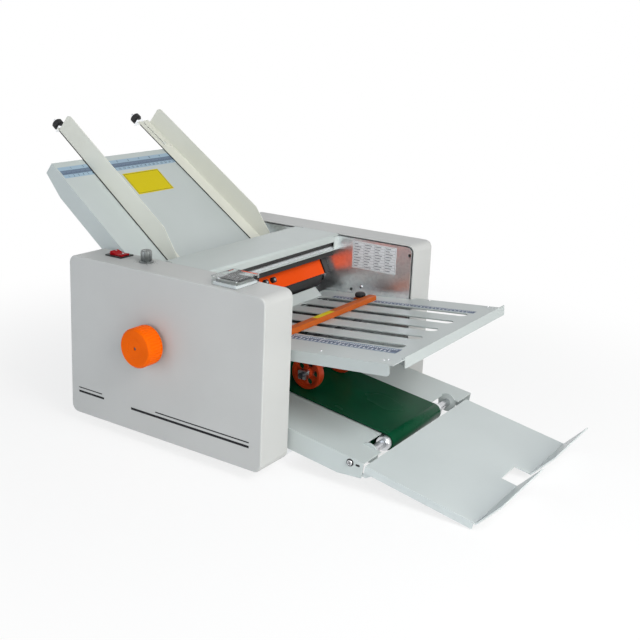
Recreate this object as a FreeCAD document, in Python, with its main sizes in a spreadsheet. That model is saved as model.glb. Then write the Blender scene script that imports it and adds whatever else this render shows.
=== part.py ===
import FreeCAD, Part
import math
import os

import Sketcher

# Desk-top paper folding machine, in millimetres.
# Working axes: X is the paper's travel from the left end of the side covers, Y goes from the
# outer face of the near cover to the far one, and Z is up from the covers' lower edge.
# Every sub-part is placed with the sheet's origin_x, origin_y and floor_z, so that the exported
# frame has its origin under the middle of the machine, on the surface that it stands on.

DIMENSIONS = {
    "origin": {"origin_x": 236.9, "origin_y": 213, "floor_z": -16},
    "covers": {
        "cover_length": 350, "cover_height": 240, "cover_depth": 61, "cover_wall": 1.5,
        "cover_corner": 12, "cover_edge": 2, "machine_width": 458,
        "plate_thickness": 3, "plate_inset": 3, "plate_corner": 9,
        "wheel_hole": 8, "knob_hole": 3.5, "motor_hole": 9, "screw_hole": 2.5, "lug_hole": 2,
        "high_screw_x": 344, "high_screw_z": 224.7, "low_screw_x": 241, "low_screw_z": 151.7,
        "lug_screw_x": 259.5, "lug_screw_z": 158.5,
    },
    "base": {
        "pan_start": 8, "pan_end": 341, "pan_sheet": 1.5, "pan_flange": 13,
        "foot_radius": 13, "foot_left": 45, "foot_right": 295, "foot_near": 95, "foot_far": 363,
        "tie_radius": 5, "rear_tie_x": 20, "rear_tie_z": 150, "low_tie_x": 320, "low_tie_z": 8,
        "left_tie_x": 30,
    },
    "cross_plate": {
        "cross_front": 214, "cross_top": 216.6, "cross_width": 13, "cross_drop": 14,
    },
    "hood": {
        "hood_back": 127, "hood_front": 211, "hood_sheet": 1.5, "hood_lip": 12, "hood_gap": 0.5,
        "hood_bend": 4, "hood_lip_far": 382, "hood_seam": 0.8,
        "hood_pivot_x": 132, "hood_pivot_z": 231, "hood_pin": 2.5, "hood_ear": 7,
        "hood_notch": 14,
    },
    "sheets": {
        "sheet": 1.2, "side_gap": 2, "boss_radius": 5, "running_gap": 0.4, "turning_gap": 0.3,
        "bore_fit": 0.05,
    },
    "feed_table": {
        "table_x": 42.5, "table_z": 241.8, "table_angle": 37.16, "table_top": 184.6,
        "table_end": 84, "table_flange": 30, "table_top_flange": 20, "table_far_edge": 388,
        "table_taper": 45, "table_hem": 7.2, "table_boss_back": 64, "table_boss_front": 9,
    },
    "guides": {
        "rod_along": 60, "rod_above": 12, "rod_radius": 6, "guide_bore": 7.1,
        "guide_boss_radius": 10, "guide_boss_width": 10, "guide_height": 36,
        "guide_length": 250, "guide_kink": 1, "guide_low_end": 48, "guide_low_height": 19,
        "guide_toe": 2,
        "guide_corner": 8, "guide_flange": 28, "guide_flange_length": 256, "guide_tail": 75,
        "slot_middle": 15.5, "slot_low": 195, "slot_high": 257, "slot_half": 2,
        "foot_hole_along": 189, "foot_hole_across": 6.2, "foot_hole": 1.5,
        "near_guide_y": 130.5, "far_guide_y": 369.3, "far_guide_yaw": 5,
        "strip_low": 190, "strip_high": 262, "strip_width": 14, "strip_tab": 13,
        "strip_stud": 1.6, "strip_head": 3.2, "strip_play": 0.3, "strip_head_height": 1.3,
        "clamp_radius": 8.7, "clamp_collar": 6.3, "clamp_collar_length": 3,
        "clamp_length": 12, "clamp_drop": 4.5, "clamp_stud": 1.5,
        "clamp_reach": 6, "knob_edge": 1.5, "knob_grooves": 9, "groove_radius": 1.5,
    },
    "feeding": {
        "feed_x": 135.1, "feed_z": 202.9, "feed_radius": 24, "feed_width": 60, "shaft_radius": 5,
        "pad_width": 50, "pad_start": 88, "pad_end": 108, "pad_thickness": 3.4,
        "pad_pin_along": 111, "pad_pin_below": 3, "pad_pin_radius": 1.5,
        "holder_start": 86, "holder_end": 112, "holder_top": 4.6, "holder_depth": 12,
        "holder_ear": 3, "holder_ear_gap": 1.5, "holder_ear_back": 5, "pin_reach": 6,
    },
    "rollers": {
        "roller_x": 157, "roller_z": 139, "gear_module": 2, "gear_teeth": 17,
        "upper_roller_angle": 52, "third_roller_angle": -30, "fourth_roller_angle": -104.5,
        "roller_radius": 16.85, "core_radius": 8, "roller_start": 83, "roller_end": 375,
        "gear_start": 45, "gear_end": 57, "pressure_angle": 20, "gear_backlash": 0.5,
        "shaft_start": 28, "shaft_end": 402, "bearing_radius": 11, "bearing_start": 58,
        "bearing_end": 65, "bearing_far_start": 393, "bearing_far_end": 400,
        "small_pulley": 12, "pulley_start": 30, "pulley_end": 36, "pulley_rim": 2,
        "feed_pulley": 14, "belt_thickness": 1.5,
    },
    "guard": {
        "guard_low_x": 197, "guard_low_z": 173.5, "guard_face": 26.4, "guard_face_angle": 117.1,
        "guard_back": 16.4, "guard_back_angle": 156.6, "guard_sheet": 1.4, "guard_arm": 4,
        "guard_start": 72, "guard_end": 378, "screw_radius": 4.5, "screw_head": 6,
        "screw_first": 218, "screw_second": 238, "screw_up": 15.5,
    },
    "fold_plate": {
        "fold_x": 350.6, "fold_z": 155.5, "fold_angle": 5.06, "fold_front": 150,
        "fold_mouth": -143, "fold_tongue": -161, "fold_flange": 16, "fold_gap": 3.3,
        "fold_wide_start": 4, "fold_wide_far": 402, "fold_flange_end": 144,
        "fold_flange_corner": 5, "strip_near": 97, "strip_far": 411, "strip_top": 2,
        "strip_bottom": 13, "relief_hole": 1.8,
        "fold_slot_end": 123, "fold_slot_half": 9, "fold_slot_pitch": 47.6,
        "fold_slot_middle": 242, "slot_from_mouth": 4, "fold_boss_back": -120,
        "fold_boss_front": -30, "mouth_rise": 12.8, "mouth_back": 12.7, "tongue_width": 37,
        "tongue_taper": 2, "lower_start": -146, "lower_end": 138, "lower_side": 70,
        "lower_pad": 3, "lower_pad_inset": 8, "lower_pad_back": -126, "lower_pad_front": 132,
    },
    "stop_bar": {
        "stop_x": 300, "stop_width": 14, "stop_height": 8, "stop_start": 100, "stop_end": 362,
        "stop_sheet": 1.5, "finger_half": 3.5, "finger_depth": 9, "finger_half_thickness": 1.5,
        "lug_back": 18, "lug_low": 3, "lug_width": 18, "stop_knob_radius": 8.5,
        "stop_knob_height": 8, "stop_knob_foot": 6.5, "stop_stud": 2.5, "stop_knob_back": 17,
        "stop_knob_inset": 9,
    },
    "rear_plate": {
        "rear_x": 150, "rear_z": 106, "rear_angle": 23, "rear_length": 184, "rear_gap": 1.5,
        "rear_flange": 7, "rear_slot_start": -166, "rear_slot_end": -44, "rear_slot_half": 6,
        "rear_flare": 8,
        "rear_stop_along": -100, "rear_stop_half": 5, "rear_stop_height": 7,
        "rear_slot_pitch": 93, "rear_boss_radius": 3.5, "rear_boss_upper": -120,
        "rear_boss_lower": -105, "rear_boss_front": -30, "rear_stop_reach": 130,
        "rear_knob_across": 100, "rear_knob_radius": 7, "rear_knob_height": 8,
    },
    "deck": {
        "deck_x": 350.8, "deck_z": 43.2, "deck_angle": 8.19, "deck_start": -106,
        "deck_front": 117.1, "deck_sheet": 1.5, "deck_flange": 29.7, "deck_flange_front": 22.3,
        "deck_cut": 81.3, "deck_bed_end": 90, "deck_notch": 117, "deck_ear": 14,
        "deck_boss_back": -90, "deck_boss_front": -20,
    },
    "conveyor": {
        "front_roller_x": 448, "front_roller_z": 20.5, "rear_roller_x": 228,
        "rear_roller_z": 52, "belt_roller_radius": 10.5, "belt_width": 145,
        "belt_roller_width": 162, "axle_radius": 4, "axle_ear": 112, "nut_radius": 6.5,
        "nut_width": 4, "rear_pulley": 8,
    },
    "press_wheels": {
        "wheel_x": 299.5, "wheel_z": 79.6, "wheel_radius": 24.8, "wheel_width": 12,
        "wheel_rim": 5, "wheel_hub": 8, "wheel_web": 4, "near_wheel_y": 183,
        "far_wheel_y": 275, "wheel_pivot_x": 262, "wheel_pivot_z": 104, "wheel_axle": 4,
        "arm_half": 6, "arm_thickness": 3, "arm_near": 196, "arm_far": 259,
        "axle_near": 163, "axle_far": 295, "block_half": 6.5, "block_near": 167,
        "block_far": 282, "block_width": 9, "block_corner": 1.5, "wheel_holes": 5,
        "wheel_hole_radius": 4.6, "wheel_hole_circle": 13.5,
    },
    "tray": {
        "tray_x": 468, "tray_z": 23.7, "tray_angle": 10.47, "tray_length": 161.7,
        "tray_start": 1, "tray_far_edge": 370, "tray_flange": 10, "tray_lip": 47,
        "tray_lip_angle": 58, "tray_pivot_x": 458, "tray_pivot_z": 21, "tray_pin": 2,
        "notch_near": 196, "notch_far": 242, "notch_depth": 24.4, "ear_near": 68,
        "ear_far": 368.5, "tray_bracket": 371.5, "ear_sheet": 1.5,
        "neck_half": 4, "neck_drop": 13, "neck_inside": 8.5, "neck_reach": 12,
    },
    "controls": {
        "handwheel_radius": 28, "handwheel_front": -32, "handwheel_back": -4,
        "handwheel_ribs": 36, "rib_radius": 1.3, "handwheel_recess": 3, "hub_radius": 12,
        "hub_edge": 14,
        "switch_x": 58.5, "switch_y": 42.5, "bezel_length": 31, "bezel_width": 26,
        "bezel_height": 2, "switch_length": 28, "switch_width": 22, "switch_depth": 18,
        "rocker_length": 23.2, "rocker_width": 16.6, "rocker_tilt": 7, "rocker_pin": 1.6,
        "rocker_pin_reach": 1.2,
        "knob_x": 113, "knob_y": 40, "knob_radius": 8, "knob_height": 17, "knob_stem": 3,
        "knob_depth": 12, "knob_ribs": 20, "knob_rib": 0.7, "pointer_half": 0.6,
        "counter_x": 276.7, "counter_y": 32.5, "counter_length": 42.5, "counter_width": 49,
        "counter_height": 12, "counter_block_length": 34, "counter_block_width": 38,
        "counter_wall": 1.5, "counter_depth": 14, "counter_headroom": 5,
    },
    "drive": {
        "motor_x": 130, "motor_z": 44, "motor_radius": 28, "motor_start": 318,
        "motor_flange": 3, "motor_corner": 5, "motor_bore": 20, "motor_shaft": 18,
        "motor_pulley_radius": 10, "main_pulley_radius": 28, "belt_inset": 1.5,
        "main_pulley_start": 408, "main_pulley_end": 416, "inlet_y": 427, "inlet_z": 45,
        "inlet_width": 27, "inlet_height": 20, "inlet_depth": 16, "inlet_rim": 2,
        "inlet_wall": 2, "pin_spread": 6, "pin_width": 2, "pin_height": 4,
    },
}

document = FreeCAD.newDocument("PaperFoldingMachine")
sheet = document.addObject("Spreadsheet::Sheet", "Sizes")


def fill_sheet():
    row = 1
    for group, cells in DIMENSIONS.items():
        sheet.set("A%d" % row, group)
        row += 1
        for alias, value in cells.items():
            sheet.set("A%d" % row, alias)
            sheet.set("B%d" % row, str(value))
            sheet.setAlias("B%d" % row, alias)
            row += 1
    document.recompute()


class Size:
    """A number together with the sheet expression that gives it."""

    def __init__(self, value, text):
        self.value = float(value)
        self.text = text

    @staticmethod
    def of(item):
        if isinstance(item, Size):
            return item
        return Size(item, "(%r)" % float(item))

    def combine(self, other, sign, value):
        return Size(value, "(%s %s %s)" % (self.text, sign, Size.of(other).text))

    def __add__(self, other):
        return self.combine(other, "+", self.value + Size.of(other).value)

    def __sub__(self, other):
        return self.combine(other, "-", self.value - Size.of(other).value)

    def __mul__(self, other):
        return self.combine(other, "*", self.value * Size.of(other).value)

    def __truediv__(self, other):
        return self.combine(other, "/", self.value / Size.of(other).value)

    def __radd__(self, other):
        return Size.of(other) + self

    def __rsub__(self, other):
        return Size.of(other) - self

    def __rmul__(self, other):
        return Size.of(other) * self

    def __neg__(self):
        return Size(-self.value, "(-%s)" % self.text)


class Sheet:
    """Gives every alias of the spreadsheet as an attribute."""

    def __getattr__(self, alias):
        return Size(sheet.get(alias), "Sizes." + alias)


S = Sheet()


def cosine(angle):
    angle = Size.of(angle)
    return Size(math.cos(math.radians(angle.value)), "cos(%s * 1deg)" % angle.text)


def sine(angle):
    angle = Size.of(angle)
    return Size(math.sin(math.radians(angle.value)), "sin(%s * 1deg)" % angle.text)


# ---------------------------------------------------------------- sketches and features

PLANES = {"XY": "XY_Plane", "XZ": "XZ_Plane", "YZ": "YZ_Plane"}


def new_body(name):
    body = document.addObject("PartDesign::Body", name)
    body.Label = name
    return body


def place(body, x, y, z, tilt=0, yaw=0, roll=0):
    """Put a body's own origin at a working point. It rolls about X, turns about Z and then
    tilts about Y."""
    base = "create(<<vector>>; %s; %s; %s)" % (
        (Size.of(x) - S.origin_x).text, (Size.of(y) - S.origin_y).text,
        (Size.of(z) - S.floor_z).text)
    turn = "create(<<rotation>>; create(<<vector>>; 0; 1; 0); %s)" % Size.of(tilt).text
    swing = "create(<<rotation>>; create(<<vector>>; 0; 0; 1); %s)" % Size.of(yaw).text
    lean = "create(<<rotation>>; create(<<vector>>; 1; 0; 0); %s)" % Size.of(roll).text
    body.setExpression(
        "Placement", "create(<<placement>>; %s; %s * %s * %s)" % (base, turn, swing, lean))


def sketch_on(body, plane, offset):
    sketch = body.newObject("Sketcher::SketchObject", body.Name + "_sketch")
    origin = [item for item in body.Origin.OriginFeatures if item.Role == PLANES[plane]][0]
    sketch.AttachmentSupport = (origin, [""])
    sketch.MapMode = "FlatFace"
    sketch.setExpression("AttachmentOffset.Base.z", Size.of(offset).text)
    return sketch


def bind_point(sketch, geometry, position, x, y):
    first = sketch.addConstraint(
        Sketcher.Constraint("DistanceX", -1, 1, geometry, position, x.value))
    second = sketch.addConstraint(
        Sketcher.Constraint("DistanceY", -1, 1, geometry, position, y.value))
    sketch.setExpression("Constraints[%d]" % first, x.text)
    sketch.setExpression("Constraints[%d]" % second, y.text)


def bind_radius(sketch, geometry, radius):
    index = sketch.addConstraint(Sketcher.Constraint("Radius", geometry, radius.value))
    sketch.setExpression("Constraints[%d]" % index, radius.text)


def corner_arc(previous, corner, following, radius):
    """The arc that rounds a corner, with its two tangent points."""
    into = (corner - previous).normalize()
    out = (following - corner).normalize()
    turn = math.acos(max(-1.0, min(1.0, into.dot(out))))
    reach = radius * math.tan(turn / 2)
    start = corner - into * reach
    end = corner + out * reach
    side = 1.0 if into.cross(out).z > 0 else -1.0
    centre = start + FreeCAD.Vector(-into.y, into.x, 0) * (radius * side)
    first = math.atan2(start.y - centre.y, start.x - centre.x)
    last = math.atan2(end.y - centre.y, end.x - centre.x)
    if side < 0:
        first, last = last, first
    circle = Part.Circle(centre, FreeCAD.Vector(0, 0, 1), radius)
    return start, end, Part.ArcOfCircle(circle, first, last), side


def outline(*points):
    """A closed loop of (x, y) or (x, y, corner radius) points."""

    def draw(sketch):
        ends = [(Size.of(p[0]), Size.of(p[1]), Size.of(p[2]) if len(p) > 2 else None)
                for p in points]
        count = len(ends)
        flat = [FreeCAD.Vector(x.value, y.value, 0) for x, y, _ in ends]
        rounds = [corner_arc(flat[i - 1], flat[i], flat[(i + 1) % count], r.value)
                  if r is not None else None for i, (_, _, r) in enumerate(ends)]
        lines = []
        for i in range(count):
            j = (i + 1) % count
            start = rounds[i][1] if rounds[i] else flat[i]
            end = rounds[j][0] if rounds[j] else flat[j]
            lines.append(sketch.addGeometry(Part.LineSegment(start, end), False))
        for i, (x, y, radius) in enumerate(ends):
            if rounds[i] is None:
                sketch.addConstraint(
                    Sketcher.Constraint("Coincident", lines[i - 1], 2, lines[i], 1))
                bind_point(sketch, lines[i], 1, x, y)
                continue
            arc = sketch.addGeometry(rounds[i][2], False)
            entry, leave = (1, 2) if rounds[i][3] > 0 else (2, 1)
            sketch.addConstraint(Sketcher.Constraint("Tangent", lines[i - 1], 2, arc, entry))
            sketch.addConstraint(Sketcher.Constraint("Tangent", arc, leave, lines[i], 1))
            bind_radius(sketch, arc, radius)
            corner = sketch.addGeometry(Part.Point(flat[i]), True)
            bind_point(sketch, corner, 1, x, y)
            sketch.addConstraint(
                Sketcher.Constraint("PointOnObject", corner, 1, lines[i - 1]))
            sketch.addConstraint(Sketcher.Constraint("PointOnObject", corner, 1, lines[i]))

    return draw


def box(x0, y0, x1, y1, radius=None):
    corners = [(x0, y0), (x1, y0), (x1, y1), (x0, y1)]
    if radius is not None:
        corners = [(x, y, radius) for x, y in corners]
    return outline(*corners)


def circle(x, y, radius):
    def draw(sketch):
        middle = (Size.of(x), Size.of(y))
        ring = Part.Circle(
            FreeCAD.Vector(middle[0].value, middle[1].value, 0), FreeCAD.Vector(0, 0, 1),
            Size.of(radius).value)
        index = sketch.addGeometry(ring, False)
        bind_point(sketch, index, 3, *middle)
        bind_radius(sketch, index, Size.of(radius))

    return draw


def slot(x0, x1, y, half):
    """A slot with round ends along the sketch's X, between the two ends given."""
    return box(x0, Size.of(y) - half, x1, Size.of(y) + half, Size.of(half) * 0.98)


def belt_outline(first, second):
    """The loop round two circles, each given as (x, y, radius)."""

    def draw(sketch):
        (x0, y0, r0), (x1, y1, r1) = [tuple(Size.of(v) for v in c) for c in (first, second)]
        heading = math.atan2(y1.value - y0.value, x1.value - x0.value)
        span = math.hypot(x1.value - x0.value, y1.value - y0.value)
        spread = math.acos((r0.value - r1.value) / span)
        arcs = []
        for x, y, r, start, end in (
                (x0, y0, r0, heading + spread, heading - spread + 2 * math.pi),
                (x1, y1, r1, heading - spread, heading + spread)):
            ring = Part.Circle(FreeCAD.Vector(x.value, y.value, 0), FreeCAD.Vector(0, 0, 1),
                               r.value)
            arc = sketch.addGeometry(Part.ArcOfCircle(ring, start, end), False)
            bind_point(sketch, arc, 3, x, y)
            bind_radius(sketch, arc, r)
            arcs.append(arc)
        for (a, pa), (b, pb) in (((0, 2), (1, 1)), ((1, 2), (0, 1))):
            start = sketch.getPoint(arcs[a], pa)
            end = sketch.getPoint(arcs[b], pb)
            line = sketch.addGeometry(Part.LineSegment(start, end), False)
            sketch.addConstraint(Sketcher.Constraint("Tangent", arcs[a], pa, line, 1))
            sketch.addConstraint(Sketcher.Constraint("Tangent", line, 2, arcs[b], pb))

    return draw


def pad(body, plane, low, high, *loops):
    """Add the loops' area between two heights over the plane."""
    low, high = Size.of(low), Size.of(high)
    sketch = sketch_on(body, plane, -high if plane == "XZ" else low)
    for loop in loops:
        loop(sketch)
    feature = body.newObject("PartDesign::Pad", body.Name + "_pad")
    feature.Profile = sketch
    feature.setExpression("Length", (high - low).text)
    return feature


def pocket(body, plane, low, high, *loops):
    """Cut the loops' area between two heights over the plane."""
    low, high = Size.of(low), Size.of(high)
    sketch = sketch_on(body, plane, -low if plane == "XZ" else high)
    for loop in loops:
        loop(sketch)
    feature = body.newObject("PartDesign::Pocket", body.Name + "_pocket")
    feature.Profile = sketch
    feature.setExpression("Length", (high - low).text)
    return feature


def turn(body, loop):
    """Revolve a loop of (radius, distance along Y) points about the body's Y axis."""
    sketch = sketch_on(body, "XY", 0)
    loop(sketch)
    feature = body.newObject("PartDesign::Revolution", body.Name + "_turn")
    feature.Profile = sketch
    feature.ReferenceAxis = (sketch, ["V_Axis"])
    feature.Angle = 360
    return feature


def around(body, feature, number):
    """Repeat a feature round the body's Y axis."""
    pattern = body.newObject("PartDesign::PolarPattern", body.Name + "_ring")
    pattern.Originals = [feature]
    axis = [item for item in body.Origin.OriginFeatures if item.Role == "Y_Axis"][0]
    pattern.Axis = (axis, [""])
    pattern.Angle = 360
    pattern.setExpression("Occurrences", Size.of(number).text)
    body.Tip = pattern
    return pattern


def soften(body, radius, chosen):
    """Fillet the edges of the body's last feature that the test picks."""
    document.recompute()
    base = body.Tip
    names = ["Edge%d" % (i + 1) for i, edge in enumerate(base.Shape.Edges) if chosen(edge)]
    fillet = body.newObject("PartDesign::Fillet", body.Name + "_fillet")
    fillet.Base = (base, names)
    fillet.setExpression("Radius", Size.of(radius).text)
    return fillet


def disc(radius, low, high, bore=0):
    return box(bore, low, radius, high)


# ---------------------------------------------------------------- shared places

def near_inner():
    return S.cover_depth + S.plate_thickness


def far_inner():
    return S.machine_width - S.cover_depth - S.plate_thickness


def sheet_near():
    return near_inner() + S.side_gap


def sheet_far():
    return far_inner() - S.side_gap


def middle():
    return S.machine_width / 2


def roller_centre(number):
    spacing = S.gear_module * S.gear_teeth
    x, z = S.roller_x, S.roller_z
    if number == 1:
        return (x + spacing * cosine(S.upper_roller_angle),
                z + spacing * sine(S.upper_roller_angle))
    if number >= 3:
        x = x + spacing * cosine(S.third_roller_angle)
        z = z + spacing * sine(S.third_roller_angle)
    if number == 4:
        x = x + spacing * cosine(S.fourth_roller_angle)
        z = z + spacing * sine(S.fourth_roller_angle)
    return x, z


def bearing_places():
    rollers = [roller_centre(number) for number in (1, 2, 3, 4)]
    return rollers + [(S.feed_x, S.feed_z), (S.rear_roller_x, S.rear_roller_z)]


def on_fold(along, above):
    """Working x and z of a point given along the front fold plate and above it."""
    c, s = cosine(S.fold_angle), sine(S.fold_angle)
    return S.fold_x + along * c - above * s, S.fold_z + along * s + above * c


def on_table(along, above):
    """Working x and z of a point given down the feed table and above it."""
    return (S.table_x + along * cosine(S.table_angle) + above * sine(S.table_angle),
            S.table_z - along * sine(S.table_angle) + above * cosine(S.table_angle))


def side_bosses(body, near, far, radius, *places):
    """Welded bosses that seat a sheet's side flanges on the two side plates."""
    rings = [circle(x, z, radius) for x, z in places]
    pad(body, "XZ", near_inner(), near, *rings)
    pad(body, "XZ", far, far_inner(), *rings)


def grooved_knob(body, number, radius, reach, low, high, *profile):
    """A knob turned about the body's Y axis, with grooves cut round its rim."""
    turn(body, outline(*profile))
    groove = pocket(body, "XZ", low, high, circle(reach, 0, radius))
    around(body, groove, number)


# ---------------------------------------------------------------- covers and side plates

def side_cover(name, outer_y, inner_y, face_y):
    """A folded shell, open towards the side plate. The face is at face_y."""
    body = new_body(name)
    place(body, 0, 0, 0)
    pad(body, "XZ", outer_y, inner_y,
        box(0, 0, S.cover_length, S.cover_height, S.cover_corner))
    face = face_y.value
    soften(body, S.cover_edge,
           lambda edge: all(abs(vertex.Y - face) < 0.01 for vertex in edge.Vertexes))
    wall = S.cover_wall
    near = outer_y + wall if face_y.value == outer_y.value else outer_y
    far = inner_y if face_y.value == outer_y.value else inner_y - wall
    pocket(body, "XZ", near, far,
           box(wall, wall, S.cover_length - wall, S.cover_height - wall,
               S.cover_corner - wall))
    return body


def near_side_cover():
    body = side_cover("near_side_cover", Size.of(0), S.cover_depth, Size.of(0))
    pocket(body, "XZ", 0, S.cover_wall, circle(S.roller_x, S.roller_z, S.wheel_hole))
    top = S.cover_height
    pocket(body, "XY", top - S.cover_wall, top,
           centred(S.switch_x, S.switch_y, S.switch_length, S.switch_width),
           circle(S.knob_x, S.knob_y, S.knob_hole),
           centred(S.counter_x, S.counter_y, S.counter_block_length, S.counter_block_width))


def far_side_cover():
    body = side_cover("far_side_cover", S.machine_width - S.cover_depth, S.machine_width,
                      S.machine_width)
    pocket(body, "YZ", 0, S.cover_wall,
           centred(S.inlet_y, S.inlet_z, S.inlet_width, S.inlet_height))


def centred(x, y, length, width):
    return box(x - length / 2, y - width / 2, x + length / 2, y + width / 2)


def side_plate(name, low, holes):
    body = new_body(name)
    place(body, 0, 0, 0)
    inset = S.plate_inset
    pad(body, "XZ", low, low + S.plate_thickness,
        box(inset, inset, S.cover_length - inset, S.cover_height - inset, S.plate_corner))
    rings = [circle(x, z, S.bearing_radius) for x, z in bearing_places()]
    rings.append(circle(S.hood_pivot_x, S.hood_pivot_z, S.hood_pin + S.bore_fit))
    rings.append(circle(S.wheel_pivot_x, S.wheel_pivot_z, S.wheel_axle + S.bore_fit))
    pocket(body, "XZ", low, low + S.plate_thickness, *(rings + holes))


def side_plates():
    side_plate("near_side_plate", S.cover_depth, [])
    side_plate("far_side_plate", far_inner(), [
        circle(S.motor_x, S.motor_z, S.motor_hole),
        circle(S.low_screw_x, S.low_screw_z, S.screw_hole),
        circle(S.lug_screw_x, S.lug_screw_z, S.lug_hole),
        circle(S.high_screw_x, S.high_screw_z, S.screw_hole)])


def base_pan():
    """A folded pan with an upturned flange at each end."""
    body = new_body("base_pan")
    place(body, 0, 0, 0)
    a, b, t = S.pan_start, S.pan_end, S.pan_sheet
    pad(body, "XZ", near_inner(), far_inner(),
        outline((a, 0), (b, 0), (b, S.pan_flange), (b - t, S.pan_flange), (b - t, t),
                (a + t, t), (a + t, S.pan_flange), (a, S.pan_flange)))


def feet():
    body = new_body("feet")
    place(body, 0, 0, 0)
    for x in (S.foot_left, S.foot_right):
        for y in (S.foot_near, S.foot_far):
            pad(body, "XY", S.floor_z, 0, circle(x, y, S.foot_radius))


def tie_rods():
    body = new_body("tie_rods")
    place(body, 0, 0, 0)
    pad(body, "XZ", near_inner(), far_inner(),
        circle(S.rear_tie_x, S.rear_tie_z, S.tie_radius),
        circle(S.low_tie_x, S.low_tie_z, S.tie_radius),
        circle(S.left_tie_x, S.low_tie_z, S.tie_radius))


def front_cross_plate():
    """The angle under the hood's lip that joins the side plates, with a tab that carries on
    the line of the lip at the far side."""
    body = new_body("front_cross_plate")
    place(body, 0, 0, 0)
    front, top, t = S.cross_front, S.cross_top, S.cover_wall
    back = front - S.cross_width
    pad(body, "XZ", near_inner(), far_inner(),
        outline((back, top), (back, top - S.cross_drop), (back + t, top - S.cross_drop),
                (back + t, top - t), (front, top - t), (front, top)))
    pad(body, "XZ", S.hood_lip_far + S.hood_seam, far_inner(),
        box(S.hood_front - S.hood_sheet, top - t, S.hood_front, S.cover_height - S.plate_inset))


def shaft_bearings():
    body = new_body("shaft_bearings")
    place(body, 0, 0, 0)
    for low, high in ((S.bearing_start, S.bearing_end),
                      (S.bearing_far_start, S.bearing_far_end)):
        for x, z in bearing_places():
            pad(body, "XZ", low, high, circle(x, z, S.bearing_radius),
                circle(x, z, S.shaft_radius + S.bore_fit))


# ---------------------------------------------------------------- hood

def hood():
    """The cover plate over the feed roller, hinged on two pins at its back edge."""
    body = new_body("hood")
    place(body, 0, 0, 0)
    t, gap = S.hood_sheet, S.hood_gap
    top, back, front = S.cover_height, S.hood_back, S.hood_front
    near, far = S.cover_depth + gap, S.machine_width - S.cover_depth - gap
    inner_near, inner_far = near_inner() + gap, far_inner() - gap
    low, bend = top - S.hood_lip, S.hood_bend
    pad(body, "XZ", near, far,
        outline((back, top), (back, top - t), (front - t, top - t, bend - t), (front - t, low),
                (front, low), (front, top, bend)))
    over_plate = top - S.plate_inset + S.running_gap
    for start, end in ((near, inner_near), (inner_far, far)):
        pocket(body, "XY", top - t, top, box(back, start, back + S.hood_notch, end))
    for start, end in ((near, inner_near), (S.hood_lip_far, far)):
        pocket(body, "XZ", start, end, box(front - bend, low, front, over_plate))
    x, z, r = S.hood_pivot_x, S.hood_pivot_z, S.hood_ear
    ear_near, ear_far = sheet_near(), sheet_far()
    ear = outline((x - r / 2, top - t), (x - r / 2, z - r / 2), (x + r, z - r / 2),
                  (x + r * 3, top - t))
    pad(body, "XZ", ear_near, ear_near + t, ear)
    pad(body, "XZ", ear_far - t, ear_far, ear)
    pad(body, "XZ", S.cover_depth, ear_near, circle(x, z, S.hood_pin))
    pad(body, "XZ", ear_far, S.machine_width - S.cover_depth, circle(x, z, S.hood_pin))


# ---------------------------------------------------------------- feed table and guides

def feed_table():
    """A folded sheet whose side flanges taper at the top end."""
    body = new_body("feed_table")
    place(body, S.table_x, 0, S.table_z, S.table_angle)
    top, end, t = -S.table_top, S.table_end, S.sheet
    near, far = sheet_near(), S.table_far_edge
    pad(body, "XY", -t, 0, box(top, near, end, far))
    flange = outline((top, -t), (top, -S.table_top_flange),
                     (top + S.table_taper, -S.table_flange), (end, -S.table_flange), (end, -t))
    pad(body, "XZ", near, near + t, flange)
    pad(body, "XZ", far - t, far, flange)
    pad(body, "YZ", top, top + t, box(near, -S.table_hem, far, -t))
    depth = -S.table_flange / 2
    side_bosses(body, near, far, S.boss_radius,
                (end - S.table_boss_back, depth), (end - S.table_boss_front, depth))


def guide_rod():
    body = new_body("guide_rod")
    x, z = on_table(S.rod_along, S.rod_above)
    place(body, x, 0, z)
    pad(body, "XZ", near_inner(), far_inner(), circle(0, 0, S.rod_radius))


def place_guide(body, y, yaw):
    """A guide's own origin lies on the table under the rod; its X runs down the table."""
    x, z = on_table(S.rod_along, Size.of(0))
    place(body, x, y, z, S.table_angle, yaw)


def guide(name, y, yaw, side):
    """An upright fence with a foot flange towards the middle of the table and a boss that
    hangs on the cross rod. Side is +1 where the middle lies towards +Y."""
    body = new_body(name)
    place_guide(body, y, yaw)
    t, w, rod = S.sheet, S.running_gap, S.rod_along
    far = -S.guide_length - rod

    def across(a, b):
        a, b = Size.of(a) * side, Size.of(b) * side
        return (a, b) if a.value < b.value else (b, a)

    fence = outline((far, w), (far, S.guide_height, S.guide_corner),
                    (S.guide_kink - rod, S.guide_height),
                    (S.guide_low_end - rod, S.guide_low_height),
                    (S.guide_tail - rod, S.guide_low_height), (S.guide_tail - rod, S.guide_toe),
                    (S.guide_low_end - rod, w))
    pad(body, "XZ", *across(0, t), fence)
    low, high = across(0, S.guide_flange)
    pad(body, "XY", w, w + t,
        box(-S.guide_flange_length - rod, low, S.guide_low_end - rod, high))
    boss_low, boss_high = across(-S.guide_boss_width, t)
    pad(body, "XZ", boss_low, boss_high, circle(0, S.rod_above, S.guide_boss_radius))
    pocket(body, "XZ", boss_low, boss_high, circle(0, S.rod_above, S.guide_bore))
    slot_y = S.slot_middle * side
    pocket(body, "XY", w, w + t,
           box(-S.slot_high - rod, slot_y - S.slot_half, -S.slot_low - rod,
               slot_y + S.slot_half),
           circle(-S.foot_hole_along - rod, S.foot_hole_across * side, S.foot_hole))


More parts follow.
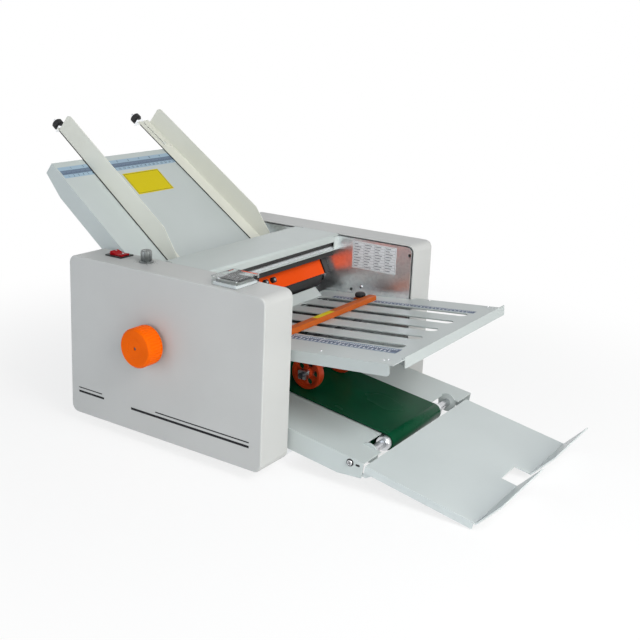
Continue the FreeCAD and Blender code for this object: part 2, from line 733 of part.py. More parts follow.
def guide_extension(name, y, yaw, side):
    """The strip that draws out under a guide's foot, with a turned-down tab for its screw."""
    body = new_body(name)
    place_guide(body, y, yaw)
    rod, t = S.rod_along, S.sheet
    slot_y = S.slot_middle * side
    low, high = -S.strip_high - rod, -S.strip_low - rod
    half = S.strip_width / 2
    pad(body, "XY", -t, 0, box(low, slot_y - half, high, slot_y + half))
    pad(body, "YZ", low, low + t, box(slot_y - half, -S.strip_tab, slot_y + half, -t))
    stud_x = -S.slot_low - rod - S.strip_stud - S.running_gap
    seat = S.running_gap + t + S.strip_play
    pad(body, "XY", -t, seat, circle(stud_x, slot_y, S.strip_stud))
    pad(body, "XY", seat, seat + S.strip_head_height, circle(stud_x, slot_y, S.strip_head))


def guide_knob(name, y, yaw, side):
    """A grooved clamp knob on the axis of the strip's tab; its own Y points up the guide."""
    body = new_body(name)
    across = S.slot_middle * side
    along = -S.strip_high - S.rod_along - S.running_gap
    c, s = cosine(yaw), sine(yaw)
    x, z = on_table(S.rod_along + along * c - across * s, -S.clamp_drop)
    place(body, x, y + along * s + across * c, z, S.table_angle, yaw + 90)
    r, neck, edge = S.clamp_radius, S.clamp_collar_length, S.knob_edge
    end, stud = S.clamp_length, S.clamp_stud
    grooved_knob(body, S.knob_grooves, S.groove_radius, r + S.groove_radius / 3, neck, end,
                 (0, 0), (S.clamp_collar, 0), (S.clamp_collar, neck), (r, neck),
                 (r, end - edge), (r - edge, end), (stud, end), (stud, end + S.clamp_reach),
                 (0, end + S.clamp_reach))


def guides():
    for prefix, y, yaw, side in (("near", S.near_guide_y, Size.of(0), 1),
                                 ("far", S.far_guide_y, S.far_guide_yaw, -1)):
        guide(prefix + "_guide", y, yaw, side)
        guide_extension(prefix + "_guide_extension", y, yaw, side)
        guide_knob(prefix + "_guide_knob", y, yaw, side)


# ---------------------------------------------------------------- feed roller and separator

def feed_roller():
    body = new_body("feed_roller")
    place(body, S.feed_x, middle(), S.feed_z)
    half = S.feed_width / 2
    turn(body, disc(S.feed_radius, -half, half, S.shaft_radius))


def pulley_points(radius, low, high):
    """The outside of a flanged belt pulley, from its low end to its high end."""
    rim = radius + S.pulley_rim
    return [(rim, low), (rim, low + 1), (radius, low + 1), (radius, high - 1),
            (rim, high - 1), (rim, high)]


def feed_shaft():
    body = new_body("feed_shaft")
    place(body, S.feed_x, 0, S.feed_z)
    r = S.shaft_radius
    turn(body, outline((0, S.shaft_start), (r, S.shaft_start), (r, S.pulley_start),
                       *pulley_points(S.feed_pulley, S.pulley_start, S.pulley_end),
                       (r, S.pulley_end), (r, S.shaft_end), (0, S.shaft_end)))


def separator_pad():
    """The friction pad under the feed roller, on a cross pin at its lower end."""
    body = new_body("separator_pad")
    place(body, S.table_x, middle(), S.table_z, S.table_angle)
    half = S.pad_width / 2
    top = S.running_gap
    pad(body, "XZ", -half, half,
        outline((S.pad_start, top - S.pad_thickness), (S.pad_pin_along, top - S.pad_thickness),
                (S.pad_pin_along, top - 1.5), (S.pad_end, top), (S.pad_start, top)))
    pad(body, "XZ", -half - S.pin_reach, half + S.pin_reach,
        circle(S.pad_pin_along, -S.pad_pin_below, S.pad_pin_radius))


def separator_holder():
    """A channel between the side plates with two ears for the pad's pin."""
    body = new_body("separator_holder")
    place(body, S.table_x, 0, S.table_z, S.table_angle)
    a, b, t = S.holder_start, S.holder_end, S.sheet
    top = -S.holder_top
    low = top - S.holder_depth
    pad(body, "XZ", near_inner(), far_inner(),
        outline((a, low), (a + t, low), (a + t, top - t), (b - t, top - t), (b - t, low),
                (b, low), (b, top), (a, top)))
    clear = S.pad_width / 2 + S.holder_ear_gap
    lip = b + S.holder_ear_gap
    for y in (middle() - clear - S.holder_ear, middle() + clear):
        pad(body, "XZ", y, y + S.holder_ear, box(b - S.holder_ear_back, top, lip, 0),
            circle(S.pad_pin_along, -S.pad_pin_below, S.pad_pin_radius + S.bore_fit))


# ---------------------------------------------------------------- folding rollers

def gear_phase(number):
    """Direction of a tooth gap of each gear, so that neighbours mesh at rest."""
    pitch = Size.of(360) / S.gear_teeth
    second = S.upper_roller_angle
    if number == 2:
        return second
    if number == 1:
        return S.upper_roller_angle + 180 + pitch / 2
    third = S.third_roller_angle * 2 + 180 - second + pitch / 2
    if number == 3:
        return third
    return S.fourth_roller_angle * 2 + 180 - third + pitch / 2


def involute(angle):
    """The involute of an angle, both in degrees."""
    radians = math.radians(angle)
    return math.degrees(math.tan(radians) - radians)


def gap_half_angle(radius):
    """Half of the gap between two involute teeth, in degrees, at a radius."""
    pitch_radius = S.gear_module.value * S.gear_teeth.value / 2
    base_radius = pitch_radius * math.cos(math.radians(S.pressure_angle.value))
    slack = math.degrees(S.gear_backlash.value / 2 / pitch_radius)
    here = math.degrees(math.acos(min(1.0, base_radius / radius)))
    opened = involute(here) - involute(S.pressure_angle.value)
    return 90 / S.gear_teeth.value + slack + opened


def tooth_gap(phase):
    """The outline of one gap: its flanks pass through four points of the involute."""
    pitch_radius = S.gear_module * S.gear_teeth / 2
    root = pitch_radius - S.gear_module * 1.25
    base = pitch_radius * cosine(S.pressure_angle)
    tip = pitch_radius + S.gear_module
    steps = [root, base, pitch_radius, pitch_radius + S.gear_module / 2, tip + 0.4]
    right, left = [], []
    for radius in steps:
        half = gap_half_angle(max(radius.value, base.value))
        right.append((radius * cosine(phase - half), radius * sine(phase - half)))
        left.append((radius * cosine(phase + half), radius * sine(phase + half)))
    return outline(*(right + left[::-1]))


def roller_shaft(number):
    """A stepped shaft turned with its gear blank; the teeth are cut into it."""
    body = new_body("roller_shaft_%d" % number)
    x, z = roller_centre(number)
    place(body, x, 0, z)
    r, core = S.shaft_radius, S.core_radius
    tip = S.gear_module * (S.gear_teeth / 2 + 1)
    start = S.handwheel_front + 6 if number == 2 else S.shaft_start
    end = S.main_pulley_end + 4 if number == 2 else S.shaft_end
    profile = [(0, start), (r, start)]
    if number in (1, 4):
        profile += [(r, S.pulley_start)]
        profile += pulley_points(S.small_pulley, S.pulley_start, S.pulley_end)
        profile += [(r, S.pulley_end)]
    profile += [(r, S.gear_start), (tip, S.gear_start), (tip, S.gear_end), (r, S.gear_end)]
    profile += [(r, S.roller_start), (core, S.roller_start), (core, S.roller_end),
                (r, S.roller_end), (r, end), (0, end)]
    turn(body, outline(*profile))
    gap = pocket(body, "XZ", S.gear_start, S.gear_end, tooth_gap(gear_phase(number)))
    around(body, gap, S.gear_teeth)


def fold_roller(number):
    """The rubber sleeve on a roller shaft."""
    body = new_body("fold_roller_%d" % number)
    x, z = roller_centre(number)
    place(body, x, 0, z)
    turn(body, disc(S.roller_radius, S.roller_start, S.roller_end, S.core_radius))


def rollers():
    for number in (1, 2, 3, 4):
        roller_shaft(number)
        fold_roller(number)


def handwheel():
    """A ribbed knob on the end of the second roller's shaft."""
    body = new_body("handwheel")
    place(body, S.roller_x, 0, S.roller_z)
    r, front, back = S.handwheel_radius, S.handwheel_front, S.handwheel_back
    turn(body, outline((S.shaft_radius, front + S.handwheel_recess),
                       (S.hub_radius, front + 2), (S.hub_edge, front), (r - 3, front),
                       (r, front + 3), (r, back - 2), (r - 2, back), (S.shaft_radius, back)))
    rib = pocket(body, "XZ", front - 1, back - 4, circle(r + 0.3, 0, S.rib_radius))
    around(body, rib, S.handwheel_ribs)


# ---------------------------------------------------------------- guard

def guard_profile(thickness):
    """The bent guard in the XZ plane: a steep face, then a back leaf, of even thickness."""
    steep, flat = S.guard_face_angle, S.guard_back_angle
    half_turn = (flat - steep) / 2
    low = (S.guard_low_x, S.guard_low_z)
    top = (low[0] + S.guard_face * cosine(steep), low[1] + S.guard_face * sine(steep))
    back = (top[0] + S.guard_back * cosine(flat), top[1] + S.guard_back * sine(flat))

    def offset(point, heading, distance):
        return (point[0] + distance * sine(heading), point[1] - distance * cosine(heading))

    return outline(back, top, low, offset(low, steep, thickness),
                   offset(top, steep + half_turn, thickness / cosine(half_turn)),
                   offset(back, flat, thickness))


def guard_plate():
    body = new_body("guard_plate")
    place(body, 0, 0, 0)
    pad(body, "XZ", S.guard_start, S.guard_end, guard_profile(S.guard_sheet))


def guard_arms():
    body = new_body("guard_arms")
    place(body, 0, 0, 0)
    for low, high in ((near_inner(), S.guard_start), (S.guard_end, far_inner())):
        pad(body, "XZ", low, high, guard_profile(S.guard_arm))


def pressure_screws():
    """Two round-headed screws on the guard's steep face; X runs down that face."""
    body = new_body("pressure_screws")
    place(body, S.guard_low_x, 0, S.guard_low_z, 180 - S.guard_face_angle)
    seat = S.guard_sheet
    for y in (S.screw_first, S.screw_second):
        pad(body, "XY", seat, seat + S.screw_head, circle(-S.screw_up, y, S.screw_radius))


# ---------------------------------------------------------------- front fold plate

def slot_lines():
    return [S.fold_slot_middle + S.fold_slot_pitch * step for step in (-2, -1, 0, 1, 2)]


def fold_slots(start):
    return [slot(start, S.fold_slot_end, y, S.fold_slot_half) for y in slot_lines()]


def upper_fold_plate():
    """The slotted sheet: a mouth turned up between two tongues, side flanges, a wider part in
    front of the covers and a strip across the front edge."""
    body = new_body("upper_fold_plate")
    place(body, S.fold_x, 0, S.fold_z, -S.fold_angle)
    near, far, t = sheet_near(), sheet_far(), S.sheet
    start, mouth, front = S.fold_tongue, S.fold_mouth, S.fold_front
    wide, widened, outer = S.tongue_width, S.fold_wide_start, S.fold_wide_far
    tip = start + S.tongue_taper
    pad(body, "XY", -t, 0,
        outline((start, near), (front, near), (front, outer), (widened, outer), (widened, far),
                (start, far), (tip, far - wide), (mouth, far - wide), (mouth, near + wide),
                (tip, near + wide)),
        circle(front - S.relief_hole * 2, S.strip_near - S.relief_hole, S.relief_hole),
        *fold_slots(mouth + S.slot_from_mouth))
    depth, corner, back = S.fold_flange, S.fold_flange_corner, start + 8
    end = S.fold_flange_end
    pad(body, "XZ", near, near + t,
        outline((back, -t), (end, -t), (end, -depth, corner), (back + 12, -depth),
                (back, -depth + 6)))
    pad(body, "XZ", far - t, far,
        outline((back, -t), (widened, -t), (widened, -depth), (back + 12, -depth),
                (back, -depth + 6)))
    pad(body, "XZ", outer - t, outer,
        outline((widened, -t), (end, -t), (end, -depth, corner), (widened, -depth, corner)))
    pad(body, "YZ", front - t, front,
        box(S.strip_near, -S.strip_bottom, S.strip_far, S.strip_top))
    rise, lean = S.mouth_rise, S.mouth_back
    pad(body, "XZ", near + wide, far - wide,
        outline((mouth, -t), (mouth + t, 0), (mouth - lean + t, rise), (mouth - lean, rise)))
    side_bosses(body, near, far, S.boss_radius,
                (S.fold_boss_back, -depth / 2), (S.fold_boss_front, -depth / 2))


def lower_fold_plate():
    """The slotted sheet below, carried on embossed pads that meet the upper one."""
    body = new_body("lower_fold_plate")
    place(body, S.fold_x, 0, S.fold_z, -S.fold_angle)
    t, side, inset = S.sheet, S.lower_side, S.lower_pad_inset
    near, far = side, S.machine_width - side
    top = -t - S.fold_gap
    start = S.fold_mouth + S.slot_from_mouth
    pad(body, "XY", top - t, top, box(S.lower_start, near, S.lower_end, far),
        *fold_slots(start))
    pads = [circle(x, y, S.lower_pad) for x in (S.lower_pad_back, Size.of(0), S.lower_pad_front)
            for y in (near + inset, far - inset)]
    pad(body, "XY", top, -t, *pads)


def stop_bar():
    """The channel that stops the sheets, with a finger through each slot and an end lug for
    each clamp screw."""
    body = new_body("stop_bar")
    along = (S.stop_x - S.fold_x) / cosine(S.fold_angle)
    place(body, S.fold_x, 0, S.fold_z, -S.fold_angle)
    half, gap, t = S.stop_width / 2, S.running_gap, S.stop_sheet
    top, back, front = gap + S.stop_height, along - half, along + half
    pad(body, "XZ", S.stop_start, S.stop_end,
        outline((back, gap), (back + t, gap), (back + t, top - t), (front - t, top - t),
                (front - t, gap), (front, gap), (front, top, t), (back, top, t)))
    finger = S.finger_half_thickness
    for y in slot_lines():
        pad(body, "XZ", y - S.finger_half, y + S.finger_half,
            box(along - finger, -S.finger_depth, along + finger, top - t))
    low = gap + S.lug_low
    for y in (S.stop_start, S.stop_end - S.lug_width):
        hole = circle(along - S.stop_knob_back, y + S.lug_width / 2, S.stop_stud + S.bore_fit)
        pad(body, "XY", low, low + t,
            box(back - S.lug_back, y, back + t / 2, y + S.lug_width), hole)


def stop_knobs():
    """Two flat grooved knobs; each one's own Y is the plate's upward direction."""
    along = (S.stop_x - S.fold_x) / cosine(S.fold_angle) - S.stop_knob_back
    x, z = on_fold(along, Size.of(0))
    seat = S.running_gap * 2 + S.lug_low + S.stop_sheet
    r, stud, foot, edge = S.stop_knob_radius, S.stop_stud, S.stop_knob_foot, S.knob_edge
    end = seat + S.stop_knob_height
    for name, y in (("near_stop_knob", S.stop_start + S.stop_knob_inset),
                    ("far_stop_knob", S.stop_end - S.stop_knob_inset)):
        body = new_body(name)
        place(body, x, y, z, -S.fold_angle, 0, 90)
        grooved_knob(body, S.knob_grooves, S.groove_radius, r + S.groove_radius / 3, seat, end,
                     (0, S.running_gap), (stud, S.running_gap), (stud, seat), (foot, seat),
                     (r, seat + edge), (r, end - edge * 2), (foot, end - edge / 2), (foot / 2, end),
                     (0, end))


# ---------------------------------------------------------------- rear fold plate

def rear_slots():
    lines = [middle() + S.rear_slot_pitch * step for step in (-1, 0, 1)]
    return [slot(S.rear_slot_start, S.rear_slot_end, y, S.rear_slot_half) for y in lines]


def rear_upper_plate():
    body = new_body("rear_upper_plate")
    place(body, S.rear_x, 0, S.rear_z, -S.rear_angle)
    near, far, t, gap = sheet_near(), sheet_far(), S.sheet, S.rear_gap
    pad(body, "XY", gap, gap + t, box(-S.rear_length, near, -2, far), *rear_slots())
    flange = box(-S.rear_length, gap + t, -2, gap + S.rear_flange)
    pad(body, "XZ", near, near + t, flange)
    pad(body, "XZ", far - t, far, flange)
    pad(body, "XZ", near + 20, far - 20,
        outline((-2, gap), (-2 + S.rear_flare, gap + S.rear_flare * 0.8),
                (-2 + S.rear_flare - t, gap + S.rear_flare * 0.8 + t), (-2 - t, gap + t)))
    depth = gap + S.rear_flange / 2
    side_bosses(body, near, far, S.rear_boss_radius,
                (S.rear_boss_upper, depth), (S.rear_boss_front, depth))


def rear_lower_plate():
    body = new_body("rear_lower_plate")
    place(body, S.rear_x, 0, S.rear_z, -S.rear_angle)
    near, far, t, gap = sheet_near(), sheet_far(), S.sheet, S.rear_gap
    pad(body, "XY", -gap - t, -gap, box(-S.rear_length, near, 2, far), *rear_slots())
    flange = box(-S.rear_length, -gap - S.rear_flange, 2, -gap - t)
    pad(body, "XZ", near, near + t, flange)
    pad(body, "XZ", far - t, far, flange)
    depth = -gap - S.rear_flange / 2
    side_bosses(body, near, far, S.rear_boss_radius,
                (S.rear_boss_lower, depth), (S.rear_boss_front, depth))


def rear_stop():
    """The second stop: a bar on the rear plate with a finger through each slot."""
    body = new_body("rear_stop")
    place(body, S.rear_x, 0, S.rear_z, -S.rear_angle)
    low = S.rear_gap + S.sheet + S.running_gap
    half, along = S.rear_stop_half, S.rear_stop_along
    pad(body, "XZ", middle() - S.rear_stop_reach, middle() + S.rear_stop_reach,
        box(along - half, low, along + half, low + S.rear_stop_height))
    finger = S.finger_half_thickness
    for step in (-1, 0, 1):
        y = middle() + S.rear_slot_pitch * step
        pad(body, "XZ", y - S.finger_half, y + S.finger_half,
            box(along - finger, -S.rear_gap - S.sheet - 1.5, along + finger, low))
    seat = low + S.rear_stop_height
    pad(body, "XY", seat, seat + S.rear_knob_height,
        circle(along, middle() + S.rear_knob_across, S.rear_knob_radius))


# ---------------------------------------------------------------- delivery deck and belt

def in_deck(x, z):
    """A working point in the deck's own tilted axes."""
    dx, dz = Size.of(x) - S.deck_x, Size.of(z) - S.deck_z
    return (dx * cosine(S.deck_angle) - dz * sine(S.deck_angle),
            dx * sine(S.deck_angle) + dz * cosine(S.deck_angle))


def delivery_deck():
    """A sloping sheet: a bed under the belt, notched for the front belt roller, side flanges,
    two round ears that stand up for the front axle, and a bracket for the tray's far pin."""
    body = new_body("delivery_deck")
    place(body, S.deck_x, 0, S.deck_z, S.deck_angle)
    near, far, t, mid = sheet_near(), sheet_far(), S.deck_sheet, middle()
    start, front = S.deck_start, S.deck_front
    notch, bed = S.deck_notch, S.deck_bed_end
    pad(body, "XY", -t, 0,
        outline((start, near), (front, near), (front, mid - notch), (bed, mid - notch),
                (bed, mid + notch), (front, mid + notch), (front, far), (start, far)))
    pin_x, pin_z = in_deck(S.tray_pivot_x, S.tray_pivot_z)
    bore = S.tray_pin + S.bore_fit
    flange = outline((start, -t), (start, -S.deck_flange), (S.deck_cut, -S.deck_flange),
                     (front, -S.deck_flange_front), (front, -t))
    pad(body, "XZ", near, near + t, flange, circle(pin_x, pin_z, bore))
    pad(body, "XZ", far - t, far, flange)
    axle_x, axle_z = in_deck(S.front_roller_x, S.front_roller_z)
    hole = circle(axle_x, axle_z, S.axle_radius)
    for low in (mid - notch - t, mid + notch):
        pad(body, "XZ", low, low + t, circle(axle_x, axle_z, S.deck_ear), hole)
    bracket = outline((pin_x - 6, -t), (pin_x - 5, pin_z - 5), (pin_x + 5, pin_z - 5),
                      (pin_x + 6, -t))
    pad(body, "XZ", S.tray_bracket, S.tray_bracket + t, bracket, circle(pin_x, pin_z, bore))
    depth = -S.deck_flange / 2
    side_bosses(body, near, far, S.boss_radius,
                (S.deck_boss_back, depth), (S.deck_boss_front, depth))


def conveyor_belt():
    body = new_body("conveyor_belt")
    place(body, 0, 0, 0)
    inner = S.belt_roller_radius + S.turning_gap
    outer = inner + S.belt_thickness
    half = S.belt_width / 2
    rear, front = (S.rear_roller_x, S.rear_roller_z), (S.front_roller_x, S.front_roller_z)
    pad(body, "XZ", middle() - half, middle() + half,
        belt_outline(rear + (outer,), front + (outer,)),
        belt_outline(rear + (inner,), front + (inner,)))


def front_axle():
    """The fixed axle of the front belt roller, with a collar and a nut at each end."""
    body = new_body("front_axle")
    place(body, S.front_roller_x, middle(), S.front_roller_z)
    t, r = S.deck_sheet, S.axle_radius
    ear, half = S.deck_notch, S.belt_roller_width / 2 + S.running_gap
    nut, collar = S.nut_radius, S.axle_radius + 2
    end = ear + t + S.nut_width
    turn(body, outline((0, -end), (nut, -end), (nut, -ear - t), (r, -ear - t), (r, -ear),
                       (collar, -ear), (collar, -half), (r, -half), (r, half), (collar, half),
                       (collar, ear), (r, ear), (r, ear + t), (nut, ear + t), (nut, end),
                       (0, end)))


def front_belt_roller():
    body = new_body("front_belt_roller")
    place(body, S.front_roller_x, middle(), S.front_roller_z)
    half, r = S.belt_roller_width / 2, S.belt_roller_radius
    turn(body, outline((S.axle_radius + S.bore_fit, -half), (r - 1, -half), (r, 1 - half),
                       (r, half - 1), (r - 1, half), (S.axle_radius + S.bore_fit, half)))


def rear_belt_roller():
    body = new_body("rear_belt_roller")
    place(body, S.rear_roller_x, 0, S.rear_roller_z)
    r, low = S.shaft_radius, middle() - S.belt_roller_width / 2
    high = middle() + S.belt_roller_width / 2
    turn(body, outline((0, S.shaft_start), (r, S.shaft_start), (r, S.pulley_start),
                       *pulley_points(S.rear_pulley, S.pulley_start, S.pulley_end),
                       (r, S.pulley_end), (r, low), (S.belt_roller_radius, low),
                       (S.belt_roller_radius, high), (r, high), (r, S.shaft_end),
                       (0, S.shaft_end)))


# ---------------------------------------------------------------- press wheels

def press_wheels():
    """Two spoked discs that ride on the belt and turn together on one axle."""
    body = new_body("press_wheels")
    place(body, S.wheel_x, 0, S.wheel_z)
    r, half, web = S.wheel_radius, S.wheel_width / 2, S.wheel_web / 2
    rim, hub, bore = S.wheel_radius - S.wheel_rim, S.wheel_hub, S.wheel_axle + S.bore_fit
    for y in (S.near_wheel_y, S.far_wheel_y):
        turn(body, outline((bore, y - half), (hub, y - half), (hub, y - web), (rim, y - web),
                           (rim, y - half), (r - 1, y - half), (r, y - half + 1),
                           (r, y + half - 1), (r - 1, y + half), (rim, y + half),
                           (rim, y + web), (hub, y + web), (hub, y + half),
                           (bore, y + half)))
        hole = pocket(body, "XZ", y - half, y + half,
                      circle(S.wheel_hole_circle, 0, S.wheel_hole_radius))
        around(body, hole, S.wheel_holes)


def wheel_arm():
    """The swinging arm of the press wheels: pivot rod, two arms between the wheels, and the
    axle with a block on each end."""
    body = new_body("wheel_arm")
    place(body, S.wheel_x, 0, S.wheel_z)
    dx, dz = S.wheel_pivot_x - S.wheel_x, S.wheel_pivot_z - S.wheel_z
    r, half, block = S.wheel_axle, S.arm_half, S.block_half
    pad(body, "XZ", S.axle_near, S.axle_far, circle(0, 0, r))
    for low in (S.block_near, S.block_far):
        pad(body, "XZ", low, low + S.block_width, box(-block, -block, block, block, S.block_corner))
    pad(body, "XZ", S.cover_depth, S.machine_width - S.cover_depth, circle(dx, dz, r))
    for low in (S.arm_near, S.arm_far):
        pad(body, "XZ", low, low + S.arm_thickness,
            belt_outline((Size.of(0), Size.of(0), half), (dx, dz, half)))


# ---------------------------------------------------------------- stacker tray

def stacker_tray():
    """The delivery tray, with a finger notch and an upturned front lip. Two necks reach down
    and back under the deck's edge to its hinge pins."""
    body = new_body("stacker_tray")
    place(body, S.tray_x, 0, S.tray_z, S.tray_angle)
    near, far, t = sheet_near(), S.tray_far_edge, S.deck_sheet
    start, end = S.tray_start, S.tray_length
    notch = end - S.notch_depth
    pad(body, "XY", -t, 0,
        outline((start, near), (end, near), (end, S.notch_near), (notch, S.notch_near),
                (notch, S.notch_far), (end, S.notch_far), (end, far), (start, far)))
    flange = box(start, -S.tray_flange, end - 4, -t)
    pad(body, "XZ", near, near + t, flange)
    pad(body, "XZ", far - t, far, flange)
    c, s = cosine(S.tray_lip_angle), sine(S.tray_lip_angle)
    lip = outline((end, -t), (end + S.tray_lip * c, S.tray_lip * s - t),
                  (end + S.tray_lip * c - t * s, S.tray_lip * s - t + t * c), (end - t * s, 0))
    pad(body, "XZ", near, S.notch_near, lip)
    pad(body, "XZ", S.notch_far, far, lip)
    dx, dz = S.tray_pivot_x - S.tray_x, S.tray_pivot_z - S.tray_z
    px = dx * cosine(S.tray_angle) - dz * sine(S.tray_angle)
    pz = dx * sine(S.tray_angle) + dz * cosine(S.tray_angle)
    half, drop, edge = S.neck_half, pz - S.neck_drop, start + S.neck_reach
    inside = pz - S.neck_inside
    ear = outline((px + half, pz + half - 0.5, 3), (px - half, pz + half - 0.5, 3),
                  (px - half, drop, 4), (px + half * 3.5, drop, 4), (edge, -S.tray_flange),
                  (edge, -t), (start, -t), (start + 0.6, pz - 3), (start - 0.6, inside, 2),
                  (px + half, inside, 2))
    for low in (S.ear_near, S.ear_far):
        pad(body, "XZ", low, low + S.ear_sheet, ear)
    pad(body, "XZ", near, S.ear_near, circle(px, pz, S.tray_pin))
    pad(body, "XZ", S.ear_far + S.ear_sheet, S.tray_bracket + t, circle(px, pz, S.tray_pin))
    pad(body, "XZ", near + t, S.ear_near,
        box(start + 4, -S.tray_flange, edge, -t))


# ---------------------------------------------------------------- controls

def switch_bezel():
    body = new_body("switch_bezel")
    place(body, S.switch_x, S.switch_y, S.cover_height)
    opening = (S.rocker_length + 0.8, S.rocker_width + 0.8)
    zero = Size.of(0)
    pad(body, "XY", 0, S.bezel_height, centred(zero, zero, S.bezel_length, S.bezel_width),
        centred(zero, zero, *opening))
    pad(body, "XY", -S.switch_depth, 0, centred(zero, zero, S.switch_length, S.switch_width))
    pocket(body, "XY", -S.switch_depth + 4, 0, centred(zero, zero, *opening))
    reach = S.rocker_width / 2 + S.rocker_pin_reach + 0.2
    pocket(body, "XZ", -reach, reach, circle(0, 0, S.rocker_pin + S.bore_fit))


def rocker():
    """A two-sided rocker on two cross pins, with one end pressed."""
    body = new_body("rocker")
    place(body, S.switch_x, S.switch_y, S.cover_height, S.rocker_tilt)
    half, width = S.rocker_length / 2 - 0.4, S.rocker_width / 2
    pad(body, "XZ", -width, width,
        outline((-half, -1), (0, -7, 4), (half, -1), (half, 5.2), (0, 3.2), (-half, 5.2)))
    reach = width + S.rocker_pin_reach
    pad(body, "XZ", -reach, reach, circle(0, 0, S.rocker_pin))


def speed_knob():
    """A ribbed knob with a pointer groove, on a stem through the cover; its own Y points up."""
    body = new_body("speed_knob")
    place(body, S.knob_x, S.knob_y, S.cover_height, 0, 0, 90)
    r, low, edge = S.knob_radius, S.running_gap, S.knob_edge
    top = low + S.knob_height
    grooved_knob(body, S.knob_ribs, S.knob_rib, r, low, top,
                 (0, -S.knob_depth), (S.knob_stem, -S.knob_depth), (S.knob_stem, low), (r, low),
                 (r, top - edge), (r - edge, top), (0, top))
    pocket(body, "XZ", top - 1, top, box(-S.pointer_half, 0, S.pointer_half, r))


def counter():
    block = new_body("counter_body")
    place(block, S.counter_x, S.counter_y, S.cover_height)
    zero = Size.of(0)
    wall, height = S.counter_wall, S.counter_height
    pad(block, "XY", -S.counter_depth, height - S.counter_headroom,
        centred(zero, zero, S.counter_block_length, S.counter_block_width))
    lid = new_body("counter_cover")
    place(lid, S.counter_x, S.counter_y, S.cover_height)
    pad(lid, "XY", 0, height, centred(zero, zero, S.counter_length, S.counter_width))
    pocket(lid, "XY", 0, height - wall,
           centred(zero, zero, S.counter_length - wall * 2, S.counter_width - wall * 2))


# ---------------------------------------------------------------- drive

def motor():
    body = new_body("motor")
    place(body, S.motor_x, 0, S.motor_z)
    far, flange, r = far_inner(), S.motor_flange, S.motor_radius
    pad(body, "XZ", S.motor_start, far - flange, circle(0, 0, r))
    pad(body, "XZ", far - flange, far, box(-r, -r, r, r, S.motor_corner))
    pocket(body, "XZ", far - S.motor_bore, far, circle(0, 0, S.axle_radius + S.bore_fit))


def motor_pulley():
    body = new_body("motor_pulley")
    place(body, S.motor_x, 0, S.motor_z)
    low, high, r = S.main_pulley_start, S.main_pulley_end, S.axle_radius
    far = far_inner()
    turn(body, outline((0, far - S.motor_shaft), (r, far - S.motor_shaft), (r, low),
                       *pulley_points(S.motor_pulley_radius, low, high), (r, high),
                       (r, high + 3), (0, high + 3)))


def main_pulley():
    body = new_body("main_pulley")
    place(body, S.roller_x, 0, S.roller_z)
    low, high, r = S.main_pulley_start, S.main_pulley_end, S.shaft_radius
    turn(body, outline((r, low), *pulley_points(S.main_pulley_radius, low, high), (r, high)))


def drive_belts():
    """The motor belt in the far cover, and the feed and conveyor belts in the near one."""
    body = new_body("drive_belts")
    place(body, 0, 0, 0)
    gap, t = S.turning_gap, S.belt_thickness
    first, fourth = roller_centre(1), roller_centre(4)
    runs = [
        ((S.motor_x, S.motor_z), S.motor_pulley_radius, (S.roller_x, S.roller_z),
         S.main_pulley_radius, S.main_pulley_start, S.main_pulley_end),
        (first, S.small_pulley, (S.feed_x, S.feed_z), S.feed_pulley, S.pulley_start,
         S.pulley_end),
        (fourth, S.small_pulley, (S.rear_roller_x, S.rear_roller_z), S.rear_pulley,
         S.pulley_start, S.pulley_end),
    ]
    for start, r0, end, r1, low, high in runs:
        pad(body, "XZ", low + S.belt_inset, high - S.belt_inset,
            belt_outline(start + (r0 + gap + t,), end + (r1 + gap + t,)),
            belt_outline(start + (r0 + gap,), end + (r1 + gap,)))


def mains_inlet():
    """A rimmed socket with three pins, let into the far cover's end."""
    body = new_body("mains_inlet")
    place(body, 0, S.inlet_y, S.inlet_z)
    zero, rim, wall = Size.of(0), S.inlet_rim, S.inlet_wall
    width, height = S.inlet_width, S.inlet_height
    hollow = centred(zero, zero, width - wall * 2, height - wall * 2)
    pad(body, "YZ", -S.cover_wall, 0, centred(zero, zero, width + rim * 2, height + rim * 2),
        hollow)
    pad(body, "YZ", 0, S.inlet_depth, centred(zero, zero, width, height))
    pocket(body, "YZ", 0, S.inlet_depth - wall, hollow)
    pins = [centred(S.pin_spread * step, S.pin_width * rise, S.pin_width, S.pin_height)
            for step, rise in ((-1, -0.5), (0, 1.5), (1, -0.5))]
    pad(body, "YZ", S.pin_height, S.inlet_depth - wall, *pins)


# ---------------------------------------------------------------- build and export

def build():
    near_side_cover()
    far_side_cover()
    side_plates()
    base_pan()
    feet()
    tie_rods()
    front_cross_plate()
    shaft_bearings()
    hood()
    feed_table()
    guide_rod()
    guides()
    feed_roller()
    feed_shaft()
    separator_pad()
    separator_holder()
    rollers()
    handwheel()
    guard_plate()
    guard_arms()
    pressure_screws()
    upper_fold_plate()
    lower_fold_plate()
    stop_bar()
    stop_knobs()
    rear_upper_plate()
    rear_lower_plate()
    rear_stop()
    delivery_deck()
    conveyor_belt()
    front_axle()
    front_belt_roller()
    rear_belt_roller()
    press_wheels()
    wheel_arm()
    stacker_tray()
    switch_bezel()
    rocker()
    speed_knob()
    counter()
    motor()
    motor_pulley()
    main_pulley()
    drive_belts()
    mains_inlet()
    document.recompute()


def check():
    for item in document.Objects:
        if "Invalid" in item.State or "Error" in item.State:
            raise RuntimeError("%s did not compute: %s" % (item.Label, item.State))
    for body in document.findObjects("PartDesign::Body"):
        if body.Shape.isNull() or not body.Shape.isValid():
            raise RuntimeError("%s has no valid shape" % body.Label)


def export():
    os.makedirs("parts", exist_ok=True)
    for body in document.findObjects("PartDesign::Body"):
        body.Shape.exportStep("parts/%s.step" % body.Label)


fill_sheet()
build()
check()
export()
